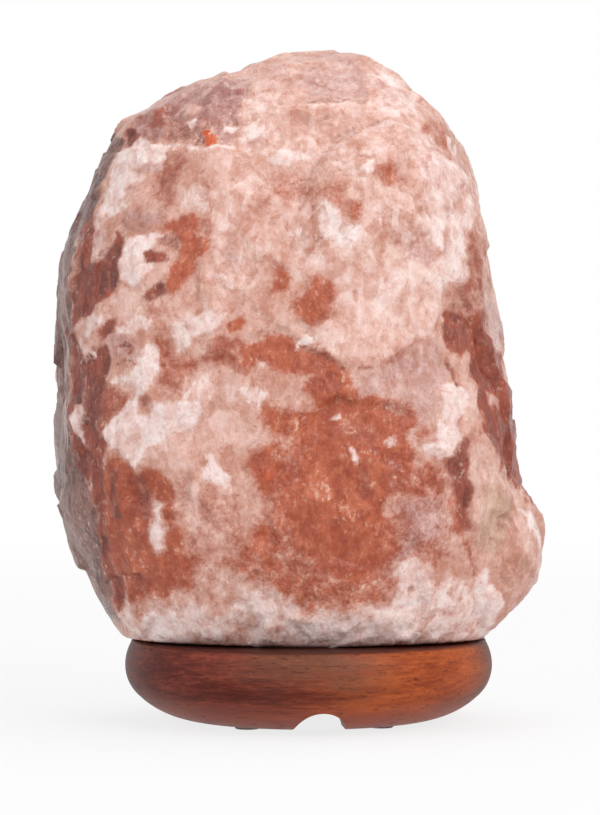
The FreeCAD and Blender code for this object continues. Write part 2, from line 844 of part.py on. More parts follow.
def make_bulb():
    """A small pygmy bulb: its glass, screw cap, insulator and tip, and the mount in the glass."""
    tip = turned(
        "bulb_contact",
        [
            ("0", "0"),
            ("tip_radius - tip_height", "0", "tip_height"),
            ("tip_radius", "tip_height"),
            ("0", "tip_height"),
        ],
    )
    cap_foot = "(tip_height + insulator_height)"
    insulator = turned(
        "bulb_insulator",
        [
            ("0", "tip_height"),
            ("tip_radius + fit_gap", "tip_height"),
            ("insulator_radius", cap_foot),
            ("0", cap_foot),
        ],
    )
    cap_inside = "(cap_radius - cap_wall)"
    cap_top = f"({cap_foot} + cap_length)"
    cap = turned(
        "bulb_cap",
        [
            ("tip_radius + fit_gap", cap_foot),
            ("cap_radius - cap_chamfer", cap_foot),
            ("cap_radius", f"{cap_foot} + cap_chamfer"),
            ("cap_radius", cap_top),
            (cap_inside, cap_top),
            (cap_inside, f"{cap_foot} + cap_chamfer + cap_wall / 2"),
            (f"{cap_inside} - cap_chamfer", f"{cap_foot} + cap_wall"),
            ("tip_radius + fit_gap", f"{cap_foot} + cap_wall"),
        ],
    )
    dome = "(bulb_length - bulb_radius)"
    neck_top = "(neck_start + neck_height)"
    glass = turned(
        "bulb_glass",
        [
            ("neck_radius - glass_wall", "neck_start"),
            ("neck_radius", "neck_start"),
            ("neck_radius", neck_top),
            ("bulb_radius", f"{dome} - bulb_straight"),
            ("bulb_radius", dome, "bulb_radius"),
            ("0", "bulb_length"),
            ("0", "bulb_length - glass_wall", "bulb_radius - glass_wall", "left"),
            ("bulb_radius - glass_wall", dome),
            ("bulb_radius - glass_wall", f"{dome} - bulb_straight"),
            ("neck_radius - glass_wall", neck_top),
        ],
    )
    flare = "(neck_radius - glass_wall - thread_gap)"
    stem_top = "(neck_start + stem_flare + stem_height)"
    stem = turned(
        "bulb_stem",
        [
            ("0", "neck_start + stem_flare - stem_radius"),
            ("stem_radius", "neck_start + stem_flare - stem_radius"),
            (f"{flare} - glass_wall", "neck_start"),
            (flare, "neck_start"),
            ("stem_radius", "neck_start + stem_flare"),
            ("stem_radius", stem_top),
            ("0", stem_top),
        ],
    )
    for piece in (tip, insulator, cap, glass, stem):
        place(piece, bulb_seat)

    half_foot = "(stem_radius - 2 * wire_radius)"
    lean = f"(wire_spread - {half_foot})"
    wires = []
    for side, word in ((1, "right"), (-1, "left")):
        wire = doc.addObject("Part::Cylinder", f"wire_{word}")
        wire.setExpression("Radius", expression("wire_radius"))
        wire.setExpression("Height", expression(f"sqrt({lean} ^ 2 + wire_rise ^ 2)"))
        wire.Placement = FreeCAD.Placement(
            FreeCAD.Vector(0, 0, 0), FreeCAD.Rotation(FreeCAD.Vector(0, side, 0), 1)
        )
        wire.setExpression("Placement.Base.x", expression(f"{side} * {half_foot}"))
        wire.setExpression("Placement.Base.z", expression("wire_radius"))
        wire.setExpression("Placement.Rotation.Angle", expression(f"atan({lean} / wire_rise)"))
        wires.append(wire)
    pair = name_part(doc.addObject("Part::Compound", "wire_pair"), "lead_wires")
    pair.Links = wires
    place(pair, f"{bulb_seat} + {stem_top}")

    coil = name_part(doc.addObject("Part::Torus", "filament_arc"), "filament")
    coil.setExpression("Radius1", expression("wire_spread"))
    coil.setExpression("Radius2", expression("filament_radius"))
    coil.Angle3 = 180
    coil.Placement = FreeCAD.Placement(
        FreeCAD.Vector(0, 0, 0), FreeCAD.Rotation(FreeCAD.Vector(1, 0, 0), 90)
    )
    coil.setExpression(
        "Placement.Base.z",
        expression(f"{bulb_seat} + {stem_top} + wire_rise + 2 * wire_radius + filament_radius"),
    )


def crystal_place(across, along, up):
    """A place in the crystal, from percentages of its sizes, with its foot at zero height."""
    side = "crystal_right" if across > 0 else "crystal_left"
    face = "crystal_back" if along > 0 else "crystal_front"
    return FreeCAD.Vector(
        value(f"{across} * {side} / 100"),
        value(f"{along} * {face} / 100"),
        value(f"{up} * crystal_height / 100"),
    )


def section_wire(height, left, right, front, back):
    """A closed, slightly uneven oval that reaches as far as asked each way."""
    corners = []
    for step in range(section_points):
        angle = 2 * math.pi * step / section_points
        across, along = math.cos(angle), math.sin(angle)
        across = math.copysign(abs(across) ** section_fullness, across)
        along = math.copysign(abs(along) ** section_fullness, along)
        across *= right if across > 0 else left
        along *= back if along > 0 else front
        corners.append(crystal_place(across, along, height))
    curve = Part.BSplineCurve()
    curve.interpolate(Points=corners, PeriodicFlag=True)
    return Part.Wire(curve.toShape())


def block(size, corner):
    """A cube from its lowest corner."""
    return Part.makeBox(size, size, size, corner)


def make_crystal():
    """The rock: a loft through its cross sections with flats split off its sides, lumps standing
    out of it, a level foot and a blind bore with a drilled end."""
    room = 4 * value("crystal_height")
    split = block(room, FreeCAD.Vector(-room / 2, -room / 2, -room / 2))
    for spot, azimuth, tilt in crystal_facets:
        waste = block(room, FreeCAD.Vector(0, -room / 2, -room / 2))
        waste.Placement = FreeCAD.Placement(
            crystal_place(*spot), FreeCAD.Rotation(azimuth, -tilt, 0)
        )
        split = split.cut(waste)
    rock = Part.makeLoft([section_wire(*row) for row in crystal_sections], True, False)
    rock = rock.common(split)
    for spot, halves, azimuth in crystal_lumps:
        reach = value("crystal_front")
        stretch = FreeCAD.Matrix()
        stretch.scale(*[share * reach / 100 for share in halves])
        lump = Part.makeSphere(1).transformGeometry(stretch)
        lump.Placement = FreeCAD.Placement(crystal_place(*spot), FreeCAD.Rotation(azimuth, 0, 0))
        rock = rock.fuse(lump)
    rock = rock.cut(block(room, FreeCAD.Vector(-room / 2, -room / 2, -room)))

    radius = value("bore_radius")
    straight = value(f"{bore_top} - {wood_top}")
    rock = rock.cut(Part.makeCylinder(radius, straight))
    point = Part.makeCone(radius, 0, value("bore_point"), FreeCAD.Vector(0, 0, straight))
    rock = rock.cut(point)
    plug = value("screw_radius + 2 * thread_gap + plug_wall")
    ring = value("screw_ring")
    for number in range(screw_count):
        angle = math.radians(value(f"groove_turn + {number} * screw_turn"))
        seat = FreeCAD.Vector(ring * math.cos(angle), ring * math.sin(angle), 0)
        rock = rock.cut(Part.makeCylinder(plug, value("plug_length + fit_gap"), seat))
    crystal = name_part(doc.addObject("Part::Feature", "crystal"), "salt_crystal")
    crystal.Shape = rock
    place(crystal, wood_top)


def finish():
    """Check every object and write each sub-part's solids."""
    doc.recompute()
    for thing in doc.Objects:
        if {"Invalid", "Error"} & set(thing.State):
            raise RuntimeError(f"{thing.Label} is {thing.State}")
    for piece in parts:
        shape = piece.Shape
        if shape.isNull() or not shape.isValid() or not shape.Solids:
            raise RuntimeError(f"{piece.Label} is not a valid solid")
        shape.exportStep(f"parts/{piece.Label}.step")
        box = shape.optimalBoundingBox()
        print(
            f"{piece.Label}: {len(shape.Solids)} solids, {shape.Volume:.1f} mm3, "
            f"z {box.ZMin:.2f} to {box.ZMax:.2f}"
        )


make_base()
make_feet()
make_screws()
make_plate()
make_clips()
make_nipple()
make_socket()
make_contacts()
make_bulb()
make_crystal()
finish()
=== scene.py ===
import math

import bpy
import numpy as np
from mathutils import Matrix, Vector, noise
from mathutils.kdtree import KDTree


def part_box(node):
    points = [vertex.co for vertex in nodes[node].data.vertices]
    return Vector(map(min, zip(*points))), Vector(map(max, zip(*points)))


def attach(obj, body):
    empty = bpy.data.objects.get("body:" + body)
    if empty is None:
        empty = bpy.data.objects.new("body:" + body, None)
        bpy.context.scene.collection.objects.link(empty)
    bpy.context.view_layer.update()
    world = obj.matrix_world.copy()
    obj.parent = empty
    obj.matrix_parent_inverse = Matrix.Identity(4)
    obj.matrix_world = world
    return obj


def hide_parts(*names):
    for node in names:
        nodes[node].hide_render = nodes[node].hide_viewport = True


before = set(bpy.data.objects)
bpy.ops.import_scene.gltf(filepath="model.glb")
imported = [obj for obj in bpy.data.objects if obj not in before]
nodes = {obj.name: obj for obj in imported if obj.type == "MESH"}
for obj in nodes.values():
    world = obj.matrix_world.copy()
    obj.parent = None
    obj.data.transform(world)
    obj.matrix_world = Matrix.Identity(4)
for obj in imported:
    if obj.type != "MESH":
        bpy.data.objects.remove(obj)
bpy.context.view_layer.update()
mm = 0.001
print("frame loaded:", len(nodes), "parts")

# The camera stands where the photograph was taken from, seen from the middle of the base.
camera = {
    "place": (-2.8 * mm, -1100 * mm, 122.7 * mm),
    "pitch": -1.05,
    "lens": 148.6,
    "sensor": 36.0,
}
frontFace = -55 * mm  # the depth of the crystal's front, where its marks are measured


def clearSelection():
    for thing in bpy.context.selected_objects:
        thing.select_set(False)


def pick(thing):
    clearSelection()
    thing.select_set(True)
    bpy.context.view_layer.objects.active = thing


def tint(*channels):  # a colour as a paint chart gives it, 0 to 255
    return tuple(((c / 255 + 0.055) / 1.055) ** 2.4 if c > 10 else c / 3295 for c in channels) + (1,)


def smooth(low, high, value):
    share = np.clip((value - low) / (high - low), 0, 1)
    return share * share * (3 - 2 * share)


class Field:  # a socket that can be added and multiplied
    def __init__(self, paint, socket):
        self.paint = paint
        self.socket = socket

    def math(self, operation, *values):
        return self.paint.add("Math", {"operation": operation}, dict(enumerate(values)))

    def __add__(self, other):
        return self.math("ADD", self, other)

    def __radd__(self, other):
        return self.math("ADD", other, self)

    def __sub__(self, other):
        return self.math("SUBTRACT", self, other)

    def __rsub__(self, other):
        return self.math("SUBTRACT", other, self)

    def __mul__(self, other):
        return self.math("MULTIPLY", self, other)

    def __rmul__(self, other):
        return self.math("MULTIPLY", other, self)

    def __truediv__(self, other):
        return self.math("DIVIDE", self, other)

    def most(self, other):
        return self.math("MINIMUM", self, other)

    def away(self):
        return self.math("ABSOLUTE", self)

    def step(self, low, high, fromValue=0.0, toValue=1.0):  # a soft step between two values
        limits = {"From Min": low, "From Max": high, "To Min": fromValue, "To Max": toValue}
        return self.paint.add("MapRange", {"interpolation_type": "SMOOTHSTEP"}, {"Value": self, **limits})


class Paint:  # a material while it is mixed
    def __init__(self, name):
        self.material = bpy.data.materials.new(name)
        self.material.use_nodes = True
        self.tree = self.material.node_tree
        self.tree.nodes.clear()

    def add(self, kind, settings=None, inputs=None, output=0):
        node = self.tree.nodes.new("ShaderNode" + kind)
        for setting, value in (settings or {}).items():
            setattr(node, setting, value)
        for socket, value in (inputs or {}).items():
            if isinstance(value, Field):
                self.tree.links.new(value.socket, node.inputs[socket])
            else:
                node.inputs[socket].default_value = value
        return Field(self, node.outputs[output]) if node.outputs else None

    def places(self):
        return self.add("TexCoord", output="Object")

    def moved(self, vector, location=(0, 0, 0), rotation=(0, 0, 0), scale=(1, 1, 1)):
        turn = tuple(math.radians(angle) for angle in rotation)
        inputs = {"Vector": vector, "Location": location, "Rotation": turn, "Scale": scale}
        return self.add("Mapping", None, inputs)

    def noise(self, vector, size, detail=3.0, rough=0.5):
        inputs = {"Vector": vector, "Scale": 1 / size, "Detail": detail, "Roughness": rough}
        return self.add("TexNoise", {"noise_dimensions": "3D"}, inputs)

    def ripple(self, vector, size, detail, rough):  # a noise about zero, mostly within -1 and 1
        return (self.noise(vector, size, detail, rough) - 0.5) * 4

    def cells(self, vector, size, output="Distance", distance="EUCLIDEAN"):
        settings = {"voronoi_dimensions": "3D", "distance": distance}
        return self.add("TexVoronoi", settings, {"Vector": vector, "Scale": 1 / size}, output)

    def warped(self, vector, size, amount):  # places pushed about by a noise
        shift = self.add("TexNoise", None, {"Vector": vector, "Scale": 1 / size, "Detail": 3.0}, "Color")
        centred = self.add("VectorMath", {"operation": "SUBTRACT"}, {0: shift, 1: (0.5, 0.5, 0.5)})
        scaled = self.add("VectorMath", {"operation": "SCALE"}, {0: centred, "Scale": amount})
        return self.add("VectorMath", {"operation": "ADD"}, {0: vector, 1: scaled})

    def blend(self, factor, first, second):
        settings = {"data_type": "RGBA", "clamp_factor": True}
        return self.add("Mix", settings, {0: factor, 6: first, 7: second}, 2)

    def attribute(self, name):
        return self.add("Attribute", {"attribute_name": name}, None, "Fac")

    def bump(self, height, depth, strength=1.0):
        return self.add("Bump", None, {"Height": height, "Distance": depth, "Strength": strength})

    def finish(self, **inputs):
        sockets = {name.replace("_", " "): value for name, value in inputs.items()}
        surface = self.add("BsdfPrincipled", None, sockets)
        self.add("OutputMaterial", None, {"Surface": surface})
        return self.material


def dress(node, material):
    node.data.materials.clear()
    node.data.materials.append(material)


# The marks on the front, from the largest to the smallest, each laid over the ones before it: how soft
# its edge is, which minerals show, and its corners (across, up). All are in millimetres. Most are the
# salt's own colours; a few are painted light and shade, as marked.
rockPatches = [
    (3, {"blush": 0.6, "frost": 0.25}, [(-22.5, 199), (-14.5, 211.5), (-3, 213.5), (9.5, 214), (28.5, 206),
        (44.5, 191), (54.5, 163.5), (56, 140), (40.5, 137), (22, 148.5), (-3, 140), (-21.5, 137), (-29.5, 161),
        (-29.5, 183.5)]),
    (2.5, {"brick": 0.68}, [(-22.5, 62.5), (-3, 75), (25, 75), (29.5, 56), (22, 42), (3.5, 38.5), (-14.5, 42.5)]),
    (0.9, {"blush": 0.6, "frost": 0.3}, [(-21.5, 198), (-14.5, 201.5), (-8, 200.5), (-6, 189.5), (-4, 180.5),
        (-9, 178.5), (-16, 180.5), (-20, 184), (-23.5, 186.5), (-22.5, 193)]),
    (0.9, {"mauve": 0.85, "rust": 0.4}, [(-59.5, 187), (-53, 195), (-45.5, 199.5), (-35, 204.5), (-26.5, 206),
        (-18.5, 208.5), (-14.5, 207), (-20, 199), (-21.5, 192), (-24.5, 185.5), (-29.5, 183.5), (-35, 184),
        (-40.5, 185.5), (-46.5, 185.5), (-52.5, 184), (-58, 182.5)]),
    (1.6, {"blush": 0.5, "mauve": 0.3}, [(-52.5, 183.5), (-29.5, 183), (-14.5, 180.5), (-3, 178.5),
        (-6, 172.5), (-24.5, 177.5), (-34, 175.5), (-37, 168), (-43, 168), (-49.5, 174)]),
    (2, {"blush": 0.7, "frost": 0.2}, [(-39, 172.5), (-3, 168), (3.5, 165), (1, 152.5), (-12, 148.5),
        (-24.5, 137), (-29.5, 133), (-35, 137), (-32.5, 148.5), (-29.5, 161), (-37, 164)]),
    (1.5, {"blush": 0.5, "mauve": 0.2}, [(-58.5, 142), (-49.5, 137), (-30.5, 140), (-21.5, 137), (-25, 130.5),
        (-34, 124.5), (-40, 131.5), (-58.5, 130.5), (-62.5, 137)]),
    (1.6, {"brick": 0.2, "blush": 0.4}, [(14.5, 191), (25, 192), (29, 186.5), (34, 183.5), (35, 171),
        (29.5, 166.5), (22, 169), (19, 180.5), (23.5, 183.5), (16, 186)]),
    (1.8, {"brick": 0.35, "mauve": 0.1}, [(-12, 175.5), (3.5, 180.5), (13, 174), (16, 163.5), (9.5, 161),
        (1, 168), (-6, 168), (-14.5, 166)]),
    (1.4, {"blush": 0.7, "frost": 0.62}, [(34.5, 186.5), (40.5, 186.5), (47.5, 179), (51.5, 171), (53, 164),
        (49, 148.5), (44.5, 142), (40.5, 137), (37.5, 146), (35.5, 158.5), (35.5, 174)]),
    (1, {"blush": 0.85, "frost": 0.3}, [(-3, 125.5), (-1, 135), (6.5, 144.5), (22, 148), (34.5, 146),
        (40.5, 140), (41, 130.5), (37, 125.5), (31.5, 122.5), (24.5, 120.5), (21, 116.5), (10.5, 117),
        (5.5, 120)]),
    (1.2, {"blush": 0.7, "frost": 0.4}, [(8.5, 198), (19, 199), (28.5, 196), (29.5, 191.5), (19, 191.5),
        (9.5, 193)]),
    (0.9, {"mauve": 0.6, "rust": 0.12}, [(-2.5, 211.5), (3.5, 213), (10.5, 213), (16.5, 209.5), (19.5, 204),
        (17.5, 199.5), (9.5, 198.5), (-1, 199), (-4, 203.5)]),
    (0.9, {"mauve": 0.45, "blush": 0.3}, [(-21.5, 206.5), (-14.5, 211), (-3, 212), (-4, 203.5), (-8, 200.5),
        (-14.5, 201.5)]),
    (0.9, {"frost": 0.75, "blush": 0.3}, [(17.5, 209.5), (25.5, 208.5), (29, 203.5), (34.5, 198.5),
        (29.5, 195.5), (23.5, 199), (19.5, 202)]),
    (0.9, {"brick": 0.35}, [(34.5, 196), (40.5, 192), (44.5, 186), (47, 180.5), (43, 181), (39.5, 186),
        (35, 189.5)]),
    (0.9, {"rust": 0.4, "brick": 0.35}, [(44.5, 139.5), (49.5, 145.5), (50, 155.5), (52, 161), (54.5, 157),
        (55.5, 146), (57, 136.5), (55, 132), (42, 133)]),
    # The grey strip down the left edge is partly the salt's own grey and partly painted shade of the side turned
    # away from the light.
    (0.7, {"ash": 1}, [(-61, 189), (-57, 186.5), (-61, 181), (-63.5, 175.5), (-65.5, 171), (-68, 163.5),
        (-71, 157), (-73.5, 148.5), (-82.5, 147), (-80, 157), (-74, 168), (-69.5, 178.5), (-65.5, 185.5)]),
    (0.7, {"ash": 1}, [(-82.5, 148.5), (-73.5, 148.5), (-73, 140), (-74, 127.5), (-75, 112), (-75.5, 99.5),
        (-73, 90.5), (-70, 81), (-66, 68.5), (-63.5, 56), (-62, 43.5), (-59.5, 34.5), (-66, 33), (-72.5, 43.5),
        (-78.5, 56), (-80.5, 68.5), (-83.5, 75), (-85.5, 84), (-85.5, 99.5), (-85, 118.5), (-84, 131.5)]),
    (0.8, {"ash": 0.8, "mauve": 0.3}, [(-78.5, 124.5), (-75.5, 121.5), (-75.5, 106), (-78.5, 102.5)]),
    (0.6, {"rust": 1}, [(-71.5, 158), (-68.5, 164), (-67, 161), (-66, 155.5), (-65, 148.5), (-63.5, 152.5),
        (-62, 158), (-58, 157.5), (-58, 148.5), (-60, 142.5), (-62.5, 138), (-65, 137), (-67, 133),
        (-71, 130.5), (-73, 124.5), (-74, 121.5), (-74, 138), (-72.5, 148.5)]),
    (0.6, {"rust": 1.15}, [(-75.5, 127.5), (-71, 124.5), (-67.5, 121.5), (-63, 122.5), (-62.5, 111),
        (-63.5, 106), (-63.5, 96.5), (-64.5, 88), (-62.5, 68.5), (-61, 56), (-58, 43.5), (-58.5, 38.5),
        (-61, 42), (-63.5, 53), (-66, 65.5), (-68.5, 78), (-73, 86), (-75, 93.5), (-75.5, 102.5), (-75, 112)]),
    (0.6, {"rust": 0.7, "brick": 0.3}, [(-65.5, 127.5), (-63.5, 132), (-60, 133), (-58.5, 129), (-61, 125.5),
        (-65, 124)]),
    (0.6, {"rust": 0.45, "brick": 0.5}, [(-65, 107), (-63.5, 110), (-59.5, 109), (-55.5, 106), (-58, 101),
        (-62, 96.5), (-63.5, 88.5), (-65.5, 96.5)]),
    (0.5, {"mauve": 0.7, "frost": 0.3}, [(-67, 158.5), (-63.5, 160), (-64.5, 152.5), (-66, 148), (-67, 153.5)]),
    (0.5, {"frost": 0.6, "mauve": 0.4}, [(-73.5, 104), (-71, 106.5), (-71, 99.5), (-69.5, 91), (-71.5, 92),
        (-73.5, 96), (-74, 100)]),
    (0.4, {"mauve": 0.45, "rust": 0.55}, [(-71, 114.5), (-68.5, 112), (-69.5, 106), (-70, 96.5), (-68.5, 89.5),
        (-71, 93.5), (-71.5, 106)]),
    (0.5, {"frost": 0.7, "mauve": 0.4}, [(-73.5, 127), (-71, 130), (-68.5, 132.5), (-65, 134.5),
        (-63.5, 131.5), (-66, 128), (-68.5, 125.5), (-69.5, 123), (-67, 119.5), (-70, 119.5), (-71.5, 122.5)]),
    (0.7, {"frost": 0.95}, [(-58, 182.5), (-49.5, 183), (-41.5, 184), (-46.5, 180), (-52.5, 174), (-56, 171),
        (-57.5, 166.5), (-62.5, 163.5), (-65.5, 159.5), (-66, 164), (-63.5, 171), (-61, 175.5), (-59.5, 180.5)]),
    # painted highlight: the thin pale line along the top edge of the ledge, laid in as frost
    (0.4, {"frost": 0.85}, [(-59.5, 183), (-49.5, 185.5), (-41.5, 185.5), (-32.5, 184), (-24, 184), (-24, 183),
        (-32.5, 182.5), (-41.5, 184), (-49.5, 183.5), (-58.5, 181.5)]),
    (0.9, {"rust": 0.42, "brick": 0.35}, [(-46.5, 181), (-40.5, 182), (-36.5, 181.5), (-37, 178.5),
        (-40.5, 175.5), (-41.5, 171), (-43, 168), (-45, 163), (-47.5, 165.5), (-49, 170.5), (-47, 175.5)]),
    (0.6, {"mauve": 0.8, "rust": 0.2}, [(-54.5, 177.5), (-50.5, 179), (-46.5, 180.5), (-47, 178), (-50.5, 176),
        (-53.5, 175)]),
    (0.8, {"rust": 0.32, "mauve": 0.5}, [(-58.5, 166.5), (-52.5, 165.5), (-46.5, 164), (-44.5, 161),
        (-49.5, 158.5), (-55.5, 157.5), (-59.5, 159.5)]),
    (0.8, {"brick": 0.3, "rust": 0.2}, [(-32.5, 175), (-29, 175.5), (-28.5, 170), (-31.5, 169)]),
    (0.9, {"frost": 0.7}, [(-39, 172.5), (-33, 171), (-29.5, 166.5), (-34, 163.5), (-39.5, 166)]),
    (0.6, {"frost": 1}, [(-58, 157), (-52.5, 158), (-46.5, 158.5), (-45.5, 157), (-49.5, 153), (-50.5, 150.5),
        (-49, 147), (-53.5, 143), (-58, 142), (-60, 144.5), (-58.5, 150)]),
    (0.4, {"rust": 0.95}, [(-51, 151), (-49, 152), (-45.5, 151), (-43.5, 149.5), (-46.5, 148), (-50, 148.5)]),
    (0.6, {"rust": 0.55, "mauve": 0.4}, [(-47.5, 157), (-42.5, 158), (-40, 156), (-41.5, 152.5), (-45, 152),
        (-47, 154.5)]),
    (0.6, {"rust": 0.8}, [(-51.5, 141), (-47, 143), (-43, 141), (-44.5, 138), (-49.5, 137), (-52, 138)]),
    (0.8, {"brick": 0.85}, [(-40, 162.5), (-34, 163.5), (-29.5, 161), (-31.5, 157), (-33, 151), (-35, 147),
        (-38, 142.5), (-42.5, 138), (-45, 140), (-44, 146), (-41.5, 151), (-40, 155.5), (-45, 158), (-44, 161)]),
    (0.7, {"rust": 0.35, "brick": 0.4}, [(-34, 162.5), (-30, 163), (-29, 159.5), (-32, 156), (-34.5, 158.5)]),
    (0.8, {"mauve": 0.6}, [(-27, 158), (-22.5, 158), (-22.5, 148.5), (-25, 144.5), (-27, 148.5)]),
    (0.6, {"frost": 0.8}, [(-29.5, 145.5), (-24, 145), (-24.5, 140.5), (-29.5, 140.5)]),
    (0.7, {"frost": 0.9}, [(-59.5, 130), (-55.5, 131.5), (-50.5, 132), (-49, 130), (-50.5, 126.5),
        (-55.5, 125.5), (-58.5, 127)]),
    (0.6, {"mauve": 0.85}, [(-63, 125), (-60, 126.5), (-55.5, 126), (-53, 124.5), (-54.5, 121.5), (-55.5, 117),
        (-59.5, 117.5), (-62.5, 120.5)]),
    (0.8, {"brick": 0.42, "honey": 0.3}, [(-49.5, 134.5), (-44, 134), (-41.5, 130.5), (-44, 126.5), (-48, 127),
        (-50, 130.5)]),
    (0.8, {"frost": 0.85}, [(-44, 131.5), (-39, 132.5), (-32.5, 134), (-25, 133), (-26.5, 127.5), (-30, 125),
        (-34.5, 125), (-37.5, 121.5), (-39, 119), (-41.5, 121.5), (-44, 125.5)]),
    (0.8, {"brick": 0.5, "rust": 0.35}, [(-50, 124), (-45, 125), (-41.5, 121.5), (-38, 118.5), (-32.5, 120.5),
        (-29, 124.5), (-24, 125.5), (-18.5, 123), (-14.5, 120.5), (-15, 116.5), (-21.5, 114), (-27.5, 117),
        (-32.5, 117), (-35, 114.5), (-40, 111), (-44.5, 107.5), (-47, 109), (-47, 114.5), (-49.5, 119.5)]),
    (0.6, {"frost": 0.92}, [(-55.5, 117.5), (-53, 121.5), (-50, 123), (-47.5, 120), (-46.5, 116), (-47.5, 112),
        (-49, 107), (-52.5, 106), (-55, 109), (-56, 112.5)]),
    (0.4, {"frost": 0.9}, [(-62, 112), (-58.5, 114), (-56, 112.5), (-58.5, 110), (-61, 111)]),
    (0.5, {"rust": 0.5, "brick": 0.4}, [(-53.5, 105), (-50.5, 106.5), (-48, 105), (-49.5, 101.5), (-52, 102)]),
    (0.8, {"frost": 0.55, "blush": 0.4}, [(-44.5, 107), (-39, 110), (-34, 112), (-32.5, 115), (-29.5, 116),
        (-32, 111), (-35, 107)]),
    (0.5, {"frost": 1.1}, [(-49, 105), (-41.5, 106.5), (-34.5, 105), (-33.5, 102), (-37, 97), (-43, 93.5),
        (-49, 91.5), (-52.5, 88.5), (-53.5, 84), (-55.5, 85.5), (-58, 88), (-61, 90.5), (-63, 93.5),
        (-62.5, 97), (-59.5, 101.5), (-57, 104.5), (-53, 105), (-52, 102), (-53.5, 99.5), (-50, 101)]),
    (0.6, {"mauve": 0.2, "frost": 0.6}, [(-59.5, 95.5), (-52.5, 96.5), (-52, 93.5), (-58.5, 92)]),
    (1.2, {"blush": 0.75}, [(-52, 88.5), (-46.5, 91.5), (-37, 96.5), (-32.5, 102), (-21.5, 104.5),
        (-18.5, 99.5), (-21.5, 92), (-29, 89.5), (-34, 88.5), (-37, 81), (-43, 84)]),
    (1.5, {"brick": 0.34, "blush": 0.25, "honey": 0.2}, [(-45, 83), (-34, 80.5), (-21.5, 84), (-21.5, 62.5),
        (-30, 52.5), (-37, 45), (-43, 54.5), (-44.5, 68.5)]),
    (0.8, {"brick": 0.8, "rust": 0.32}, [(-63, 88), (-57.5, 87), (-53.5, 83), (-49.5, 86), (-45, 83),
        (-42, 75), (-40.5, 62.5), (-40, 50), (-45.5, 42.5), (-52, 43), (-57, 42), (-60, 50), (-63.5, 62.5),
        (-65.5, 71.5), (-65.5, 81.5)]),
    (0.5, {"rust": 1}, [(-61, 84), (-59.5, 84.5), (-58.5, 68.5), (-60.5, 68)]),
    (0.7, {"rust": 0.65, "brick": 0.4}, [(-53.5, 82), (-50.5, 81.5), (-49, 73), (-51, 68.5), (-53.5, 71)]),
    (1.2, {"brick": 0.75, "rust": 0.15}, [(-49.5, 57.5), (-41.5, 60), (-36.5, 56), (-35, 47), (-40, 43.5),
        (-46.5, 50)]),
    (0.5, {"frost": 1}, [(-32.5, 88.5), (-30, 89.5), (-27, 84.5), (-24, 82), (-26, 79.5), (-30, 81),
        (-32.5, 83.5)]),
    (0.6, {"blush": 0.9}, [(-36.5, 78), (-34, 79.5), (-33.5, 68.5), (-35, 63.5), (-37, 71.5)]),
    (0.8, {"frost": 0.65, "mauve": 0.3}, [(-49.5, 73.5), (-46.5, 73), (-44, 65.5), (-45, 60), (-48, 58.5),
        (-49.5, 65.5)]),
    (1, {"blush": 0.5, "brick": 0.35}, [(-32, 68.5), (-22.5, 61.5), (-24, 49.5), (-29.5, 43), (-34, 50)]),
    (1.2, {"brick": 0.62}, [(-23.5, 55), (-18.5, 57.5), (-16.5, 62.5), (-14.5, 68.5), (-16.5, 81),
        (-19.5, 86.5), (-14.5, 91.5), (-9, 93.5), (-3, 93.5), (3.5, 91), (6.5, 84), (0.5, 78), (3.5, 68.5),
        (9.5, 56), (7, 43.5), (-3, 42), (-12, 50), (-18.5, 50.5)]),
    (1.2, {"brick": 0.75}, [(-14.5, 104.5), (-3, 102), (3.5, 96.5), (0.5, 91.5), (-8, 93.5), (-13.5, 96.5)]),
    (0.8, {"brick": 0.8, "rust": 0.22}, [(-14, 127.5), (-6, 125), (0.5, 120.5), (9.5, 117.5), (13.5, 115),
        (12.5, 108.5), (2, 105), (-3, 108.5), (2, 112.5), (-9, 114), (-14.5, 117.5), (-16, 123)]),
    (0.9, {"brick": 1.2}, [(2, 105), (13, 108.5), (22, 106), (31.5, 106.5), (33.5, 99.5), (29.5, 96.5),
        (33.5, 87), (29, 78), (22.5, 75), (19.5, 62.5), (22.5, 56), (13.5, 49.5), (6.5, 56), (0.5, 68.5),
        (-3, 81), (2, 90.5), (-3, 99.5)]),
    (0.6, {"rust": 0.5, "brick": 0.4}, [(22, 105), (31.5, 106.5), (32.5, 102), (27.5, 99.5), (23.5, 101)]),
    (0.8, {"rust": 0.3, "brick": 0.6}, [(9.5, 99.5), (22, 101), (23.5, 94.5), (13, 91.5), (4.5, 93.5)]),
    (0.8, {"rust": 0.4, "brick": 0.6}, [(13.5, 88), (20, 89), (21.5, 77.5), (16, 74)]),
    (0.7, {"rust": 0.4, "brick": 0.6}, [(23.5, 87), (28, 88.5), (29, 77.5), (24.5, 75.5)]),
    (0.9, {"rust": 0.28, "brick": 0.7}, [(-9.5, 78.5), (0.5, 81), (3, 68.5), (-1, 61.5), (-6, 68)]),
    (1.2, {"ember": 0.45, "brick": 0.8}, [(-16.5, 89.5), (-11.5, 86.5), (-6.5, 82), (-7, 78.5), (-13.5, 81),
        (-17.5, 85.5)]),
    (0.6, {"blush": 0.5, "brick": 0.2}, [(-5.5, 107), (0.5, 106), (-1, 102), (-6, 102.5)]),
    (0.3, {"frost": 0.8}, [(6.5, 101.5), (9.5, 101.5), (9.5, 99.5), (7, 99.5)]),
    (0.5, {"frost": 0.5, "blush": 0.3}, [(23.5, 94.5), (27, 94.5), (27, 91.5), (24, 91.5)]),
    (0.3, {"frost": 0.8}, [(13, 91), (14.5, 90.5), (14.5, 84.5), (13, 86)]),
    (1, {"brick": 0.62, "rust": 0.28, "mauve": 0.2}, [(29.5, 84), (40.5, 86), (43, 78), (37.5, 73.5), (28.5, 75)]),
    (1.2, {"mauve": 0.6, "brick": 0.5}, [(27, 73), (40.5, 77.5), (44.5, 68.5), (42.5, 57.5), (35.5, 56),
        (33.5, 50), (28.5, 52), (25, 55), (29.5, 65.5)]),
